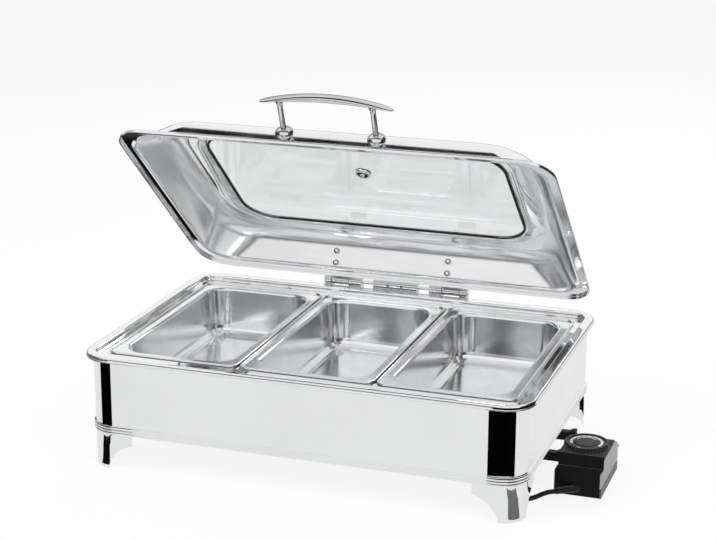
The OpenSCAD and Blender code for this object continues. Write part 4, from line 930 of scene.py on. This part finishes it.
# A button, a throat and a rolled rim: radius and height along its face, and the throat's rows, painted as
# shade
VENT_FACE = [(0.6, 4.0), (2.4, 3.8), (3.3, 3.2), (3.6, 2.2), (3.7, 0.7), (6.6, 0.7), (6.9, 2.2), (7.6, 3.0),
             (8.6, 3.1), (9.6, 2.5), (10.4, 1.2), (10.5, 0.0)]
VENT_THROAT_SHADE = (3, 4, 5)
# The straps' place and thickness, and the rivets' places as shares of the rear wall
STRAP_X, STRAP_T, RIVET_SHARES, RIVET_SHANK = 81.0, 2.5, (0.22, 0.8), 2.15
# A flat face and a collar: radius and height along a rivet's head, and the rows painted as shade
RIVET_HEAD = [(1.9, 1.5), (2.5, 1.3), (2.7, 0.7), (3.3, 0.7), (3.5, 1.5), (4.1, 1.5), (4.4, 0.9), (4.4, 0.0)]
RIVET_SHADE_ROWS = (1, 2, 3, 5, 6)


def two_faced(face, shank, low, high, outer=1.0):
    """The profile of a form with a face on both sides of what it goes through, and a shank between them."""
    return ([(r, low - z) for r, z in face] + [(shank, low), (shank, high)]
            + [(r, high + z * outer) for r, z in reversed(face)])


def both_rows(profile, numbers):
    """The face numbers of some rows of a turned form, and of the same rows from its other end."""
    last = len(profile) - 2
    return {row * LATHE_SIDES + k for i in numbers for row in (i, last - i) for k in range(LATHE_SIDES)}


def make_vent():
    """A capped eyelet through the glass: a rolled rim, a throat painted dark as shade and a button, on both
    faces.
    """
    half = GLASS_T / 2 + SEAT
    profile = two_faced(VENT_FACE, VENT_SHANK, -half, half, VENT_OUTER)

    def place(x, y, z):
        return swung(VENT_X + x, LID_MID - VENT_FRONT + y, LID_Z + LID_H - SHEET / 2 + z)

    # The throat's rows take the dark finish as painted shade
    add_form("vent_eye", lathe(profile, place), [MIRROR, DARK_STEEL_AND_SHADE], "lid", "polished_steel", "steam_vent",
             crease=40, second=both_rows(profile, VENT_THROAT_SHADE))


def on_rear_wall(x, up, z):
    """A point of the lid's rear wall: across the lid, up the wall and out from it."""
    c, s = math.cos(SLOPE), math.sin(SLOPE)
    return swung(x, LID_REAR - WALL_IN - up * c + z * s, LID_Z + WALL_LOW + up * s + z * c)


def make_rivets():
    """Round rivets through the lid and the hinge's straps: flat faces in collars, with shade painted dark
    round the collars.
    """
    profile = two_faced(RIVET_HEAD, RIVET_SHANK, -SHEET - SEAT, STRAP_T + SEAT)
    # The groove and the collars' outer sides are painted dark as the shade of the gap
    shade_rows = both_rows(profile, RIVET_SHADE_ROWS)
    shells, dark, count = [], set(), 0
    for side in (-1, 1):
        for share in RIVET_SHARES:
            shells.append(lathe(profile, lambda x, y, z, side=side, share=share:
                                on_rear_wall(side * STRAP_X + x, share * WALL_LEN - y, z)))
            dark |= {count + i for i in shade_rows}
            count += len(shells[-1][1])
    add_form("rivet_heads", joined(*shells), [MIRROR, DARK_STEEL_AND_SHADE], "lid", "polished_steel", "lid_rivets",
             crease=40, second=dark)


bpy.context.scene.view_settings.view_transform = "Standard"
make_camera()
make_cord()
make_world()
make_floor()
make_lamps()
make_cards()
shade_panel()
dress_nodes()
make_lid()
make_seal()
make_grip()
make_stems()
make_feet()
make_dial_print()
make_set_screws()
make_vent()
make_rivets()
